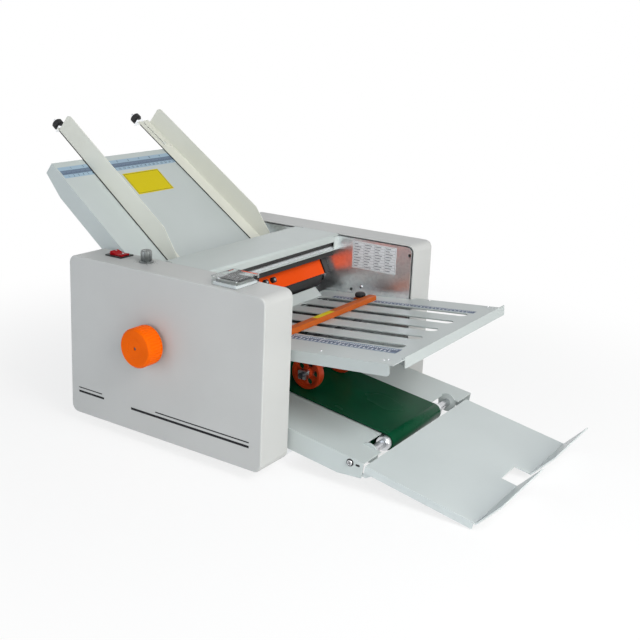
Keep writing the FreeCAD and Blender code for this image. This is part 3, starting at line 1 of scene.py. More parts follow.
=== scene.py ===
"""Finishes, prints and small fittings of a desk-top paper folding machine.

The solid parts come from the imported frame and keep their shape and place. This script gives
every one of them a finish, adds what is printed on them and the small fasteners that hold
them, lays the lower fold sheet again with wider windows, and sets up a plain studio.
"""

from __future__ import annotations

import logging
import math
from dataclasses import dataclass, field
from enum import Enum
from typing import Callable, Iterable, Sequence

import bmesh
import bpy
from mathutils import Matrix, Vector


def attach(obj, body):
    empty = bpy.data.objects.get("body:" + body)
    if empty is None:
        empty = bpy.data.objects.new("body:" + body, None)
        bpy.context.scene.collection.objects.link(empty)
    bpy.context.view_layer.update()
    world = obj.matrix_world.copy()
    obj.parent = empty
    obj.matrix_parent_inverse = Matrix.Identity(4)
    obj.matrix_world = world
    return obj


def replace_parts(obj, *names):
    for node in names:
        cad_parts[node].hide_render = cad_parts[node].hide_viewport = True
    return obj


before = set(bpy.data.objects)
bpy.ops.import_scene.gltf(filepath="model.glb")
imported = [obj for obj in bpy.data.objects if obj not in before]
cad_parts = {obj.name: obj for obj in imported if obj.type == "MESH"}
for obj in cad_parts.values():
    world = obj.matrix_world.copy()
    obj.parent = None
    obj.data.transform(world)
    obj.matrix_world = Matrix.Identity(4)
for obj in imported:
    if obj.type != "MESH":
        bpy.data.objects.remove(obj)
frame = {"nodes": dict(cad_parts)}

LOG = logging.getLogger("folding_machine")

Colour = tuple[float, float, float]
Place = tuple[float, float, float]
Point = tuple[float, float]
Span = tuple[float, float]
Socket = bpy.types.NodeSocket

MM = 0.001
# The frame's origin, seen from the left end, outer face and lower edge of the near cover.
ORIGIN = Vector((236.9, 213.0, -16.0))

# Lower and upper face, in millimetres, of a printed film, of the ink on it and of bare ink.
FILM: Span = (0.02, 0.14)
ON_FILM: Span = (0.14, 0.17)
BARE_INK: Span = (0.02, 0.12)
# A radius in millimetres that counts as none.
ON_AXIS = 1e-6
# No move and no turn.
STILL = Matrix.Identity(4).freeze()


# ------------------------------------------------------------------ node materials


@dataclass(frozen=True)
class Noise:
    """A noise over an object's own coordinates.

    Attributes:
        cells: Cells for each metre.
        octaves: Finer layers of it.
        stretch: Factors on X, Y and Z, where a small one draws the cells out.
    """

    cells: float
    octaves: float = 2.0
    stretch: Place | None = None


class Nodes:
    """A node tree, with short ways to fill it."""

    def __init__(self, tree: bpy.types.NodeTree) -> None:
        """Empty the tree and keep it."""
        tree.nodes.clear()
        self.tree = tree

    def feed(self, node: bpy.types.Node, *sources: Socket, **values: object) -> None:
        """Link or set a node's inputs.

        Args:
            node: The node.
            sources: Sockets for its first inputs, in order.
            values: A socket or a value for each input named, with underscores for spaces.
        """
        for target, source in zip(node.inputs, sources):
            self.tree.links.new(source, target)
        for name, value in values.items():
            target = node.inputs[name.replace("_", " ")]
            if isinstance(value, Socket):
                self.tree.links.new(value, target)
            else:
                target.default_value = value

    def add(self, kind: str, *sources: Socket, **values: object) -> bpy.types.Node:
        """Add a node and feed it.

        Args:
            kind: Its type.
            sources: Sockets for its first inputs, in order.
            values: A socket or a value for each input named.

        Returns:
            The node.
        """
        node = self.tree.nodes.new(kind)
        self.feed(node, *sources, **values)
        return node


class Shader(Nodes):
    """A material's nodes: a Principled surface and what varies it."""

    ramp_ends: Span = (0.3, 0.7)

    def __init__(self, name: str) -> None:
        """Start a plain material.

        Args:
            name: Its name.
        """
        self.material = bpy.data.materials.new(name)
        self.material.use_nodes = True
        super().__init__(self.material.node_tree)
        self.surface = self.add("ShaderNodeBsdfPrincipled")
        self.output = self.add("ShaderNodeOutputMaterial", self.surface.outputs[0])
        self.where = self.add("ShaderNodeTexCoord").outputs["Object"]
        self.noises: dict[Noise, Socket] = {}

    def set(self, **values: object) -> None:
        """Set or link the surface's own sockets."""
        self.feed(self.surface, **values)

    def noise(self, pattern: Noise) -> Socket:
        """The values of a noise, which is made once.

        Args:
            pattern: The noise.

        Returns:
            The socket of its values.
        """
        if pattern not in self.noises:
            where = self.where
            if pattern.stretch:
                mapping = self.add("ShaderNodeMapping", Vector=where, Scale=pattern.stretch)
                where = mapping.outputs["Vector"]
            texture = self.add("ShaderNodeTexNoise", Vector=where, Scale=pattern.cells,
                               Detail=pattern.octaves)
            self.noises[pattern] = texture.outputs["Fac"]
        return self.noises[pattern]

    def crystals(self, scale: float) -> Socket:
        """One random value for each crystal, with so many crystals for each metre."""
        texture = self.add("ShaderNodeTexVoronoi", Vector=self.where, Scale=scale)
        return texture.outputs["Color"]

    def tint(self, value: Socket, colour: Colour, darker: float, lighter: float) -> None:
        """Vary the colour between two shades.

        Args:
            value: The socket that mixes them.
            colour: The colour itself.
            darker: Factor on it where the value is low.
            lighter: Factor on it where the value is high.
        """
        ramp = self.add("ShaderNodeValToRGB", Fac=value)
        stops = zip(ramp.color_ramp.elements, self.ramp_ends, (darker, lighter))
        for stop, position, factor in stops:
            stop.position = position
            stop.color = (*(min(1.0, part * factor) for part in colour), 1.0)
        self.set(Base_Color=ramp.outputs["Color"])

    def roughen(self, value: Socket, middle: float, under: float, over: float) -> None:
        """Vary the roughness.

        Args:
            value: The socket that varies it.
            middle: The roughness itself.
            under: How far it falls below that.
            over: How far it rises above that.
        """
        spread = self.add("ShaderNodeMapRange", Value=value, To_Min=middle - under,
                          To_Max=middle + over)
        self.set(Roughness=spread.outputs["Result"])

    def bump(self, height: Socket, depth: float, strength: float) -> None:
        """Raise the surface by a pattern, on top of any before it.

        Args:
            height: The pattern's socket.
            depth: Its depth, in metres.
            strength: How much of it shows.
        """
        node = self.add("ShaderNodeBump", Height=height, Distance=depth, Strength=strength)
        before = self.surface.inputs["Normal"].links
        if before:
            self.feed(node, Normal=before[0].from_socket)
        self.set(Normal=node.outputs["Normal"])


@dataclass(frozen=True)
class Finish:
    """A surface that varies a little in tone and roughness over a fine relief.

    Attributes:
        colour: Its middle colour.
        rough: Its middle roughness.
        tones: Factors on the colour where it is darkest and lightest.
        spread: How far the roughness goes under and over its middle.
        clouds: What varies the tone.
        marks: What varies the roughness.
        reliefs: What raises the surface.
        depth: Depth of each relief, in metres.
        strength: How much of each relief shows.
        shine: Strength of the surface's plain reflection.
        metal: 1 for a metal, 0 for anything else.
    """

    colour: Colour
    rough: float = 0.30
    tones: Span = (0.93, 1.05)
    spread: Span = (0.04, 0.08)
    clouds: Noise = Noise(30.0)
    marks: Noise = Noise(70.0, 3.0)
    reliefs: tuple[Noise, ...] = ()
    depth: float = 0.00003
    strength: float = 0.5
    shine: float = 0.5
    metal: float = 0.0

    def tone(self, shader: Shader) -> Socket:
        """What varies the tone, as a socket."""
        return shader.noise(self.clouds)

    def sockets(self) -> dict[str, float]:
        """Values that only this finish sets on the surface."""
        return {}

    def make(self, name: str) -> bpy.types.Material:
        """Wire a material.

        Args:
            name: The material's name.

        Returns:
            The material.
        """
        shader = Shader(name)
        shader.tint(self.tone(shader), self.colour, *self.tones)
        shader.roughen(shader.noise(self.marks), self.rough, *self.spread)
        for relief in self.reliefs:
            shader.bump(shader.noise(relief), self.depth, self.strength)
        shader.set(Specular_IOR_Level=self.shine, Metallic=self.metal, **self.sockets())
        return shader.material


@dataclass(frozen=True)
class PowderCoat(Finish):
    """Baked powder coat: a fine orange peel under a soft gloss."""

    rough: float = 0.36
    tones: Span = (0.965, 1.035)
    spread: Span = (0.05, 0.07)
    clouds: Noise = Noise(7.0, 3.0)
    marks: Noise = Noise(24.0, 4.0)
    reliefs: tuple[Noise, ...] = (Noise(620.0),)
    depth: float = 0.00010
    strength: float = 0.45
    lacquer: float = 0.0
    lacquer_rough: float = 0.2

    def sockets(self) -> dict[str, float]:
        """The clear layer over the coat."""
        return {"Coat_Weight": self.lacquer, "Coat_Roughness": self.lacquer_rough}


@dataclass(frozen=True)
class SheetPaint(PowderCoat):
    """A smoother, thinly lacquered powder coat, for the sheets that carry the paper."""

    rough: float = 0.30
    tones: Span = (0.97, 1.03)
    shine: float = 0.3
    lacquer: float = 0.04


@dataclass(frozen=True)
class ZincPlate(Finish):
    """Bright zinc plating over rolled sheet, with faint crystals and rolling lines."""

    rolling = Noise(60.0, 3.0, (1.0, 12.0, 14.0))

    tones: Span = (0.95, 1.04)
    spread: Span = (0.03, 0.04)
    marks: Noise = rolling
    reliefs: tuple[Noise, ...] = (rolling,)
    depth: float = 0.00001
    strength: float = 0.2
    metal: float = 1.0
    crystals: float = 210.0
    brushed: float = 0.35

    def tone(self, shader: Shader) -> Socket:
        """The crystals, as a socket."""
        return shader.crystals(self.crystals)

    def sockets(self) -> dict[str, float]:
        """The drawn-out gloss of rolled sheet."""
        return {"Anisotropic": self.brushed}


@dataclass(frozen=True)
class TurnedMetal(Finish):
    """Metal turned or ground about the Y axis, with fine tool rings."""

    rings = Noise(420.0, 2.0, (0.03, 1.0, 0.03))

    rough: float = 0.22
    tones: Span = (0.90, 1.04)
    spread: Span = (0.06, 0.12)
    clouds: Noise = rings
    marks: Noise = rings
    reliefs: tuple[Noise, ...] = (rings,)
    strength: float = 0.6
    metal: float = 1.0


@dataclass(frozen=True)
class Rubber(Finish):
    """Ground rubber: matt, slightly dusty, with a fine tooth."""

    rough: float = 0.62
    tones: Span = (1.0, 1.6)
    spread: Span = (0.08, 0.12)
    clouds: Noise = Noise(45.0, 4.0)
    marks: Noise = Noise(90.0, 3.0)
    reliefs: tuple[Noise, ...] = (Noise(1500.0),)
    depth: float = 0.00008
    shine: float = 0.4


@dataclass(frozen=True)
class BeltCoat(Finish):
    """A smooth coated belt with a faint cloth impression across it."""

    rough: float = 0.26
    tones: Span = (0.82, 1.12)
    spread: Span = (0.03, 0.04)
    clouds: Noise = Noise(18.0, 4.0)
    marks: Noise = Noise(14.0)
    reliefs: tuple[Noise, ...] = (Noise(1400.0, 1.0, (1.0, 0.25, 1.0)),
                                  Noise(1400.0, 1.0, (0.25, 1.0, 0.25)))
    strength: float = 0.25
    shine: float = 0.07


@dataclass(frozen=True)
class Moulded(Finish):
    """Moulded plastic: even colour, faint flow marks and a skin texture."""

    reliefs: tuple[Noise, ...] = (Noise(900.0),)
    depth: float = 0.00004


@dataclass(frozen=True)
class ClearPlastic(Finish):
    """Clear moulded plastic with a slight haze and handling marks."""

    rough: float = 0.06
    tones: Span = (0.97, 1.0)
    spread: Span = (0.03, 0.06)
    clouds: Noise = Noise(60.0)
    marks: Noise = Noise(140.0, 4.0)
    reliefs: tuple[Noise, ...] = (Noise(90.0),)
    depth: float = 0.00005
    strength: float = 0.3
    bending: float = 1.06

    def sockets(self) -> dict[str, float]:
        """Light through it, bent a little."""
        return {"Transmission_Weight": 1.0, "IOR": self.bending}


@dataclass(frozen=True)
class Ink(Finish):
    """Printed film: a flat ink with a faint dot grain under a thin laminate."""

    rough: float = 0.38
    tones: Span = (0.94, 1.04)
    spread: Span = (0.06, 0.10)
    clouds: Noise = Noise(2200.0, 1.0)
    marks: Noise = Noise(50.0, 3.0)
    shine: float = 0.12


class Coat(Enum):
    """Every finish on the machine."""

    COVER = PowderCoat((0.500, 0.505, 0.497), shine=0.20)
    HOOD = SheetPaint((0.480, 0.525, 0.515), rough=0.34, lacquer=0.0)
    SHEET = SheetPaint((0.500, 0.545, 0.540))
    # The next two are the paint of SHEET: painted lighter for the stacker tray (painted light)
    # and darker for the fold plates (painted shade).
    TRAY_SHEET = SheetPaint((0.560, 0.605, 0.605))
    FOLD_SHEET = SheetPaint((0.430, 0.468, 0.464))
    GUIDE = PowderCoat((0.700, 0.705, 0.635), rough=0.34, depth=0.00002, shine=0.3)
    ZINC = ZincPlate((0.93, 0.95, 0.97))
    STEEL = TurnedMetal((0.60, 0.61, 0.63))
    ALUMINIUM = TurnedMetal((0.74, 0.75, 0.77), rough=0.26)
    KNOB_METAL = TurnedMetal((0.210, 0.225, 0.225), rough=0.24)
    DARK_STEEL = TurnedMetal((0.10, 0.10, 0.11), rough=0.34)
    ROLLER = Rubber((0.012, 0.012, 0.013))
    # Matt black rubber of the feet, also used for dark strips of painted shade in gaps.
    FOOT = Rubber((0.020, 0.020, 0.020), rough=0.7)
    BELT = BeltCoat((0.0, 0.052, 0.020))
    HANDWHEEL = Moulded((0.830, 0.122, 0.001), shine=0.06)
    ORANGE = PowderCoat((0.740, 0.068, 0.002), rough=0.30, depth=0.00006, shine=0.06)
    BAR = PowderCoat((0.450, 0.092, 0.012), rough=0.34, depth=0.00006, shine=0.08)
    WHEEL = Moulded((0.430, 0.040, 0.008), shine=0.15)
    ROCKER = Moulded((0.330, 0.004, 0.008), rough=0.16, shine=0.02)
    BLACK = Moulded((0.013, 0.013, 0.014), rough=0.38, shine=0.3)
    BLACK_GLOSS = Moulded((0.010, 0.010, 0.011), rough=0.22, shine=0.4)
    GREY_PLASTIC = Moulded((0.200, 0.205, 0.200), rough=0.4, shine=0.2)
    CLEAR = ClearPlastic((0.86, 0.88, 0.88))
    # Black ink for prints, also used as painted shade in screw recesses and slots.
    INK_BLACK = Ink((0.016, 0.016, 0.018))
    INK_GREY = Ink((0.13, 0.14, 0.16))
    INK_BLUE = Ink((0.070, 0.100, 0.165))
    INK_SLATE = Ink((0.155, 0.210, 0.290))
    INK_PALE = Ink((0.330, 0.450, 0.560))
    INK_WHITE = Ink((0.680, 0.700, 0.720))
    INK_YELLOW = Ink((0.640, 0.520, 0.004), rough=0.45)


class Paintbox:
    """Makes each finish once and hands it out."""

    def __init__(self) -> None:
        """Start with nothing made."""
        self.made: dict[Coat, bpy.types.Material] = {}

    def get(self, coat: Coat) -> bpy.types.Material:
        """The material of a finish.

        Args:
            coat: The finish.

        Returns:
            Its material.
        """
        if coat not in self.made:
            self.made[coat] = coat.value.make(coat.name.lower())
        return self.made[coat]


PAINTS = Paintbox()


# ------------------------------------------------------------------ places and meshes


def add_object(name: str, data: bpy.types.ID) -> bpy.types.Object:
    """A new object in the scene.

    Args:
        name: Its name.
        data: Its mesh, curve, light or camera.

    Returns:
        The object.
    """
    item = bpy.data.objects.new(name, data)
    bpy.context.scene.collection.objects.link(item)
    return item


def turn(degrees: float, axis: str) -> Matrix:
    """A turn about an axis."""
    return Matrix.Rotation(math.radians(degrees), 4, axis)


@dataclass(frozen=True)
class Plane:
    """A working plane: its origin in working millimetres, then a tilt about Y and a yaw."""

    x: float
    y: float
    z: float
    tilt: float = 0.0
    yaw: float = 0.0

    def matrix(self) -> Matrix:
        """From the plane's own millimetres to the frame's metres."""
        move = Matrix.Translation((Vector((self.x, self.y, self.z)) - ORIGIN) * MM)
        return move @ turn(self.tilt, "Y") @ turn(self.yaw, "Z") @ Matrix.Scale(MM, 4)

    def upright(self) -> Matrix:
        """The same where the plane faces the near side and its own Y points up."""
        return self.matrix() @ turn(90, "X")


@dataclass(frozen=True)
class Slope:
    """A sloping sheet: a point on its upper face, and its tilt about Y."""

    x: float
    z: float
    tilt: float

    def plane(self, along: float, across: float, above: float = 0.0, yaw: float = 0.0) -> Plane:
        """A plane on the sheet.

        Args:
            along: Distance along it, towards the delivery end.
            across: Its place across the machine.
            above: Height over it.
            yaw: Turn about the sheet's own upright, in degrees.

        Returns:
            The plane.
        """
        cos, sin = math.cos(math.radians(self.tilt)), math.sin(math.radians(self.tilt))
        return Plane(self.x + along * cos + above * sin, across,
                     self.z - along * sin + above * cos, self.tilt, yaw)


TABLE = Slope(42.5, 241.8, 37.16)
GUARD = Slope(197.0, 173.5, 62.9)
FOLD = Slope(350.6, 155.5, -5.06)


def arc(x: float, y: float, radius: float, start: float, end: float, steps: int) -> list[Point]:
    """Points on an arc.

    Args:
        x: Its centre in X.
        y: Its centre in Y.
        radius: Its radius.
        start: Where it starts, in degrees.
        end: Where it ends, in degrees.
        steps: Straight steps along it.

    Returns:
        The points, with both ends.
    """
    angles = [math.radians(start + (end - start) * i / steps) for i in range(steps + 1)]
    return [(x + radius * math.cos(a), y + radius * math.sin(a)) for a in angles]


def mark_sharp(mesh: bmesh.types.BMesh, angle: float = 35.0) -> None:
    """Smooth the faces but keep the sharp edges.

    Args:
        mesh: The mesh.
        angle: The bend in degrees from which an edge is sharp.
    """
    for face in mesh.faces:
        face.smooth = True
    for edge in mesh.edges:
        bent = len(edge.link_faces) == 2 and edge.calc_face_angle(0.0) > math.radians(angle)
        edge.smooth = not bent


def soften(item: bpy.types.Object, width: float, segments: int = 2, angle: float = 40.0) -> None:
    """Round an object's edges a little, with modifiers.

    Args:
        item: The object.
        width: Width of the rounding, in millimetres.
        segments: Steps across it.
        angle: The bend in degrees from which an edge is rounded.
    """
    item.modifiers.new("weld", "WELD").merge_threshold = 1e-6
    bevel = item.modifiers.new("soft_edges", "BEVEL")
    bevel.width = width * MM
    bevel.segments = segments
    bevel.limit_method = "ANGLE"
    bevel.angle_limit = math.radians(angle)
    bevel.harden_normals = True
    bevel.use_clamp_overlap = True


class Piece:
    """One mesh object built up in millimetres from simple closed forms."""

    def __init__(self, name: str, matrix: Matrix, slot: str) -> None:
        """Start an empty mesh.

        Args:
            name: The piece's name.
            matrix: From the piece's own millimetres to the frame's metres.
            slot: The record's material slot that it belongs to; kept on the piece but not used.
        """
        self.name = name
        self.matrix = matrix
        self.slot = slot
        self.mesh = bmesh.new()
        self.coats: list[Coat] = []

    def face(self, around: Sequence[bmesh.types.BMVert], coat: Coat) -> None:
        """One face.

        Args:
            around: Its corners, in order.
            coat: Its finish.
        """
        if coat not in self.coats:
            self.coats.append(coat)
        self.mesh.faces.new(around).material_index = self.coats.index(coat)

    def prism(self, points: Sequence[Point], low: float, high: float, coat: Coat,
              local: Matrix = STILL) -> None:
        """A closed prism over an outline.

        Args:
            points: The outline, anticlockwise, in X and Y.
            low: Height of its lower face.
            high: Height of its upper face.
            coat: Its finish.
            local: A matrix applied before the piece's own.
        """
        bottom = [self.mesh.verts.new(local @ Vector((x, y, low))) for x, y in points]
        top = [self.mesh.verts.new(local @ Vector((x, y, high))) for x, y in points]
        self.face(bottom[::-1], coat)
        self.face(top, coat)
        for i, start in enumerate(bottom):
            j = (i + 1) % len(bottom)
            self.face((start, bottom[j], top[j], top[i]), coat)

    def slab(self, x0: float, y0: float, x1: float, y1: float, low: float, high: float,
             coat: Coat, local: Matrix = STILL) -> None:
        """A closed box between two corners."""
        self.prism([(x0, y0), (x1, y0), (x1, y1), (x0, y1)], low, high, coat, local)

    def border(self, x0: float, y0: float, x1: float, y1: float, widths: Span, low: float,
               high: float, coat: Coat) -> None:
        """Four strips inside a rectangle's edges.

        Args:
            x0: The rectangle's left side.
            y0: Its lower side.
            x1: Its right side.
            y1: Its upper side.
            widths: Widths of the upright strips and of the level ones.
            low: Height of their lower faces.
            high: Height of their upper faces.
            coat: Their finish.
        """
        wide, deep = widths
        for strip in ((x0, y0, x1, y0 + deep), (x0, y1 - deep, x1, y1),
                      (x0, y0 + deep, x0 + wide, y1 - deep),
                      (x1 - wide, y0 + deep, x1, y1 - deep)):
            self.slab(*strip, low, high, coat)

    def windowed(self, xs: Sequence[float], ys: Sequence[float], low: float, high: float,
                 coat: Coat) -> None:
        """A closed sheet with a row of windows.

        Args:
            xs: Both ends of the sheet, with both ends of the windows between them.
            ys: Both sides of the sheet, with both sides of every window between them.
            low: Height of its lower face.
            high: Height of its upper face.
            coat: Its finish.
        """
        spots = {(i, j, k): self.mesh.verts.new((x, y, z)) for i, x in enumerate(xs)
                 for j, y in enumerate(ys) for k, z in enumerate((low, high))}
        solid = {(i, j) for i in range(len(xs) - 1) for j in range(len(ys) - 1)
                 if i != 1 or j % 2 == 0}
        for i, j in sorted(solid):
            ring = [(i, j), (i + 1, j), (i + 1, j + 1), (i, j + 1)]
            loops = [[(*spot, 1) for spot in ring], [(*spot, 0) for spot in ring[::-1]]]
            for side, (di, dj) in enumerate(((0, -1), (1, 0), (0, 1), (-1, 0))):
                if (i + di, j + dj) not in solid:
                    a, b = ring[side], ring[(side + 1) % 4]
                    loops.append([(*a, 0), (*b, 0), (*b, 1), (*a, 1)])
            for loop in loops:
                self.face([spots[key] for key in loop], coat)

    def turned(self, profile: Sequence[Point], coat: Coat, sides: int = 40,
               local: Matrix = STILL) -> None:
        """A closed solid of revolution about Z.

        Args:
            profile: (radius, height) points, from the axis and back to it or round a ring.
            coat: Its finish.
            sides: Facets round it.
            local: A matrix applied before the piece's own.
        """
        rings = []
        for radius, height in profile:
            count = sides if radius > ON_AXIS else 1
            spots = [Vector((radius * math.cos(a), radius * math.sin(a), height))
                     for a in (2 * math.pi * i / count for i in range(count))]
            rings.append([self.mesh.verts.new(local @ spot) for spot in spots])
        closing = rings[:1] if profile[0][0] > ON_AXIS else []
        for first, second in zip(rings, rings[1:] + closing):
            for i in range(sides):
                j = (i + 1) % sides
                loop = dict.fromkeys((first[i % len(first)], first[j % len(first)],
                                      second[j % len(second)], second[i % len(second)]))
                if len(loop) > 2:
                    self.face(list(loop), coat)

    def letters(self, text: str, size: float, height: float, coat: Coat, at: Point) -> None:
        """Flat figures centred on a point.

        Args:
            text: Digits or plain signs.
            size: Their height.
            height: Level that they lie on.
            coat: Their finish.
            at: Their middle.
        """
        curve = bpy.data.curves.new("figures", "FONT")
        curve.body = text
        curve.size = size
        curve.align_x = "CENTER"
        curve.align_y = "CENTER"
        curve.resolution_u = 2
        holder = add_object("figures", curve)
        shape = holder.to_mesh()
        move = Matrix.Translation((*at, height))
        verts = [self.mesh.verts.new(move @ vertex.co) for vertex in shape.vertices]
        for polygon in shape.polygons:
            self.face([verts[i] for i in polygon.vertices], coat)
        holder.to_mesh_clear()
        bpy.data.objects.remove(holder)
        bpy.data.curves.remove(curve)

    def finish(self, body: str, edge: float = 0.0) -> bpy.types.Object:
        """Make the object, put it in place and let it ride on a body.

        Args:
            body: The body that it moves with.
            edge: Width in millimetres of a soft edge, or 0 for none.

        Returns:
            The object.
        """
        self.mesh.transform(self.matrix)
        bmesh.ops.recalc_face_normals(self.mesh, faces=self.mesh.faces)
        mark_sharp(self.mesh)
        data = bpy.data.meshes.new(self.name)
        self.mesh.to_mesh(data)
        self.mesh.free()
        for coat in self.coats:
            data.materials.append(PAINTS.get(coat))
        item = add_object(self.name, data)
        if edge:
            soften(item, edge)
        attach(item, body)
        LOG.info("%s rides on %s", self.name, body)
        return item


# ------------------------------------------------------------------ finishes on the frame


def both(name: str) -> tuple[str, str]:
    """The near and the far one of a pair of nodes."""
    return "near_" + name, "far_" + name


def four(name: str) -> tuple[str, ...]:
    """Four numbered nodes."""
    return tuple("%s_%d" % (name, number) for number in range(1, 5))


@dataclass
class Dress:
    """Which finish and which edge rounding in millimetres every node of the frame gets."""

    coats: dict[Coat, tuple[str, ...]] = field(default_factory=lambda: {
        Coat.COVER: both("side_cover"),
        Coat.HOOD: ("hood",),
        Coat.SHEET: ("feed_table", "rear_upper_plate", "rear_lower_plate", "delivery_deck",
                     "front_cross_plate"),
        Coat.TRAY_SHEET: ("stacker_tray",),
        Coat.FOLD_SHEET: ("upper_fold_plate", "lower_fold_plate"),
        Coat.GUIDE: both("guide"),
        Coat.ZINC: (*both("side_plate"), *both("guide_extension"), "base_pan",
                    "separator_holder"),
        Coat.STEEL: (*four("roller_shaft"), "tie_rods", "guide_rod", "feed_shaft",
                     "front_axle", "shaft_bearings", "rear_belt_roller"),
        Coat.ALUMINIUM: ("front_belt_roller", "main_pulley", "motor_pulley"),
        Coat.KNOB_METAL: ("speed_knob",),
        Coat.DARK_STEEL: ("wheel_arm", "motor"),
        Coat.ROLLER: (*four("fold_roller"), "feed_roller", "separator_pad", "drive_belts"),
        Coat.FOOT: ("feet",),
        Coat.BELT: ("conveyor_belt",),
        Coat.HANDWHEEL: ("handwheel",),
        Coat.ORANGE: ("guard_plate",),
        Coat.BAR: ("stop_bar", "rear_stop"),
        Coat.WHEEL: ("press_wheels",),
        Coat.ROCKER: ("rocker",),
        Coat.BLACK: (*both("guide_knob"), *both("stop_knob"), "pressure_screws",
                     "mains_inlet", "guard_arms"),
        Coat.GREY_PLASTIC: ("counter_body",),
        Coat.BLACK_GLOSS: ("switch_bezel",),
        Coat.CLEAR: ("counter_cover",),
    })
    edges: dict[float, tuple[str, ...]] = field(default_factory=lambda: {
        0.25: ("speed_knob",),
        0.3: (*both("guide_extension"), "conveyor_belt"),
        0.35: (*both("guide_knob"), *both("stop_knob")),
        0.4: (*both("guide"), "hood", "upper_fold_plate", "counter_cover", "counter_body",
              "handwheel", "front_axle"),
        0.5: ("feed_table", "delivery_deck", "stacker_tray", "front_cross_plate",
              "guard_plate", "guard_arms", "stop_bar", "press_wheels", "rocker",
              "switch_bezel"),
        0.6: ("pressure_screws",),
        1.0: ("feet",),
    })

    def apply(self) -> None:
        """Give every node its finish and its soft edges."""
        nodes = frame["nodes"]
        done = {name: coat for coat, names in self.coats.items() for name in names}
        missing = sorted(set(nodes) - set(done))
        if missing:
            raise ValueError("no finish for %s" % missing)
        for name, coat in done.items():
            materials = nodes[name].data.materials
            materials.clear()
            materials.append(PAINTS.get(coat))
        for width, names in self.edges.items():
            for name in names:
                soften(nodes[name], width)
        LOG.info("%d nodes dressed", len(done))


# ------------------------------------------------------------------ prints


@dataclass
class Ruler:
    """A printed strip: a dark band of ticks between two rows of figures.

    Its length runs along its own X. The band's edges and the figures' sizes are shares of
    its width. A row of ticks has the number of ticks for each long one, and then a short
    and a long one's share of the band.
    """

    name: str
    place: Matrix
    length: float
    width: float
    fine: float = 2.0
    centimetre: float = 10.0
    inch: float = 25.4
    ground: Coat = Coat.INK_PALE
    band: Coat = Coat.INK_SLATE
    figures: Coat = Coat.INK_BLACK
    tick: Coat = Coat.INK_BLUE
    tick_width: float = 0.6
    band_edges: Span = (-0.20, 0.18)
    fine_row: tuple[int, float, float] = (5, 0.42, 0.62)
    inch_row: tuple[int, float, float] = (8, 0.22, 0.34)
    centimetre_size: float = 0.24
    inch_size: float = 0.25
    film: float = 0.10
    ink: float = 0.14
    tick_height: float = 0.02
    figure_height: float = 0.03

    def ticks(self, piece: Piece, step: float, row: tuple[int, float, float], start: float,
              way: int) -> None:
        """A row of ticks from one edge of the band.

        Args:
            piece: The strip's mesh.
            step: Distance between ticks.
            row: Ticks for each long one, then a short and a long one's share of the band.
            start: The band's edge.
            way: 1 where they point to the far side, -1 to the near side.
        """
        half, band = self.tick_width / 2, self.band_edges[1] - self.band_edges[0]
        for i in range(1, int(self.length // step)):
            share = row[1] if i % row[0] else row[2]
            low, high = sorted((start, start + way * share * band * self.width))
            piece.slab(i * step - half, low, i * step + half, high, self.ink,
                       self.ink + self.tick_height, self.tick)

    def row(self, piece: Piece, step: float, across: float, size: float) -> None:
        """One row of figures.

        Args:
            piece: The strip's mesh.
            step: Distance between figures.
            across: Their middle, as a share of the width.
            size: Their height, as a share of the width.
        """
        for i in range(1, int(self.length // step)):
            piece.letters(str(i), size * self.width, self.ink + self.figure_height,
                          self.figures, (i * step, across * self.width))

    def build(self, body: str) -> None:
        """Print the strip.

        Args:
            body: The body that it moves with.
        """
        piece = Piece(self.name, self.place, "sheet_paint")
        half = self.width / 2
        low, high = (share * self.width for share in self.band_edges)
        piece.slab(0, -half, self.length, half, FILM[0], self.film, self.ground)
        piece.slab(0, low, self.length, high, self.film, self.ink, self.band)
        self.ticks(piece, self.fine, self.fine_row, low, 1)
        self.ticks(piece, self.inch / self.inch_row[0], self.inch_row, high, -1)
        self.row(piece, self.inch, (self.band_edges[1] + 0.5) / 2, self.inch_size)
        self.row(piece, self.centimetre, (self.band_edges[0] - 0.5) / 2, self.centimetre_size)
        piece.finish(body)


@dataclass
class Panel:
    """A plain adhesive panel with a printed border."""

    name: str
    place: Matrix
    length: float
    width: float
    ground: Coat
    margin: float = 2.0
    line: float = 0.6

    def marks(self, piece: Piece) -> None:
        """Print the border."""
        piece.border(self.margin, self.margin, self.length - self.margin,
                     self.width - self.margin, (self.line, self.line), *ON_FILM,
                     Coat.INK_BLACK)

    def build(self, body: str) -> None:
        """Lay the film and print on it.

        Args:
            body: The body that it moves with.
        """
        piece = Piece(self.name, self.place, "sheet_paint")
        piece.slab(0, 0, self.length, self.width, *FILM, self.ground)
        self.marks(piece)
        piece.finish(body)


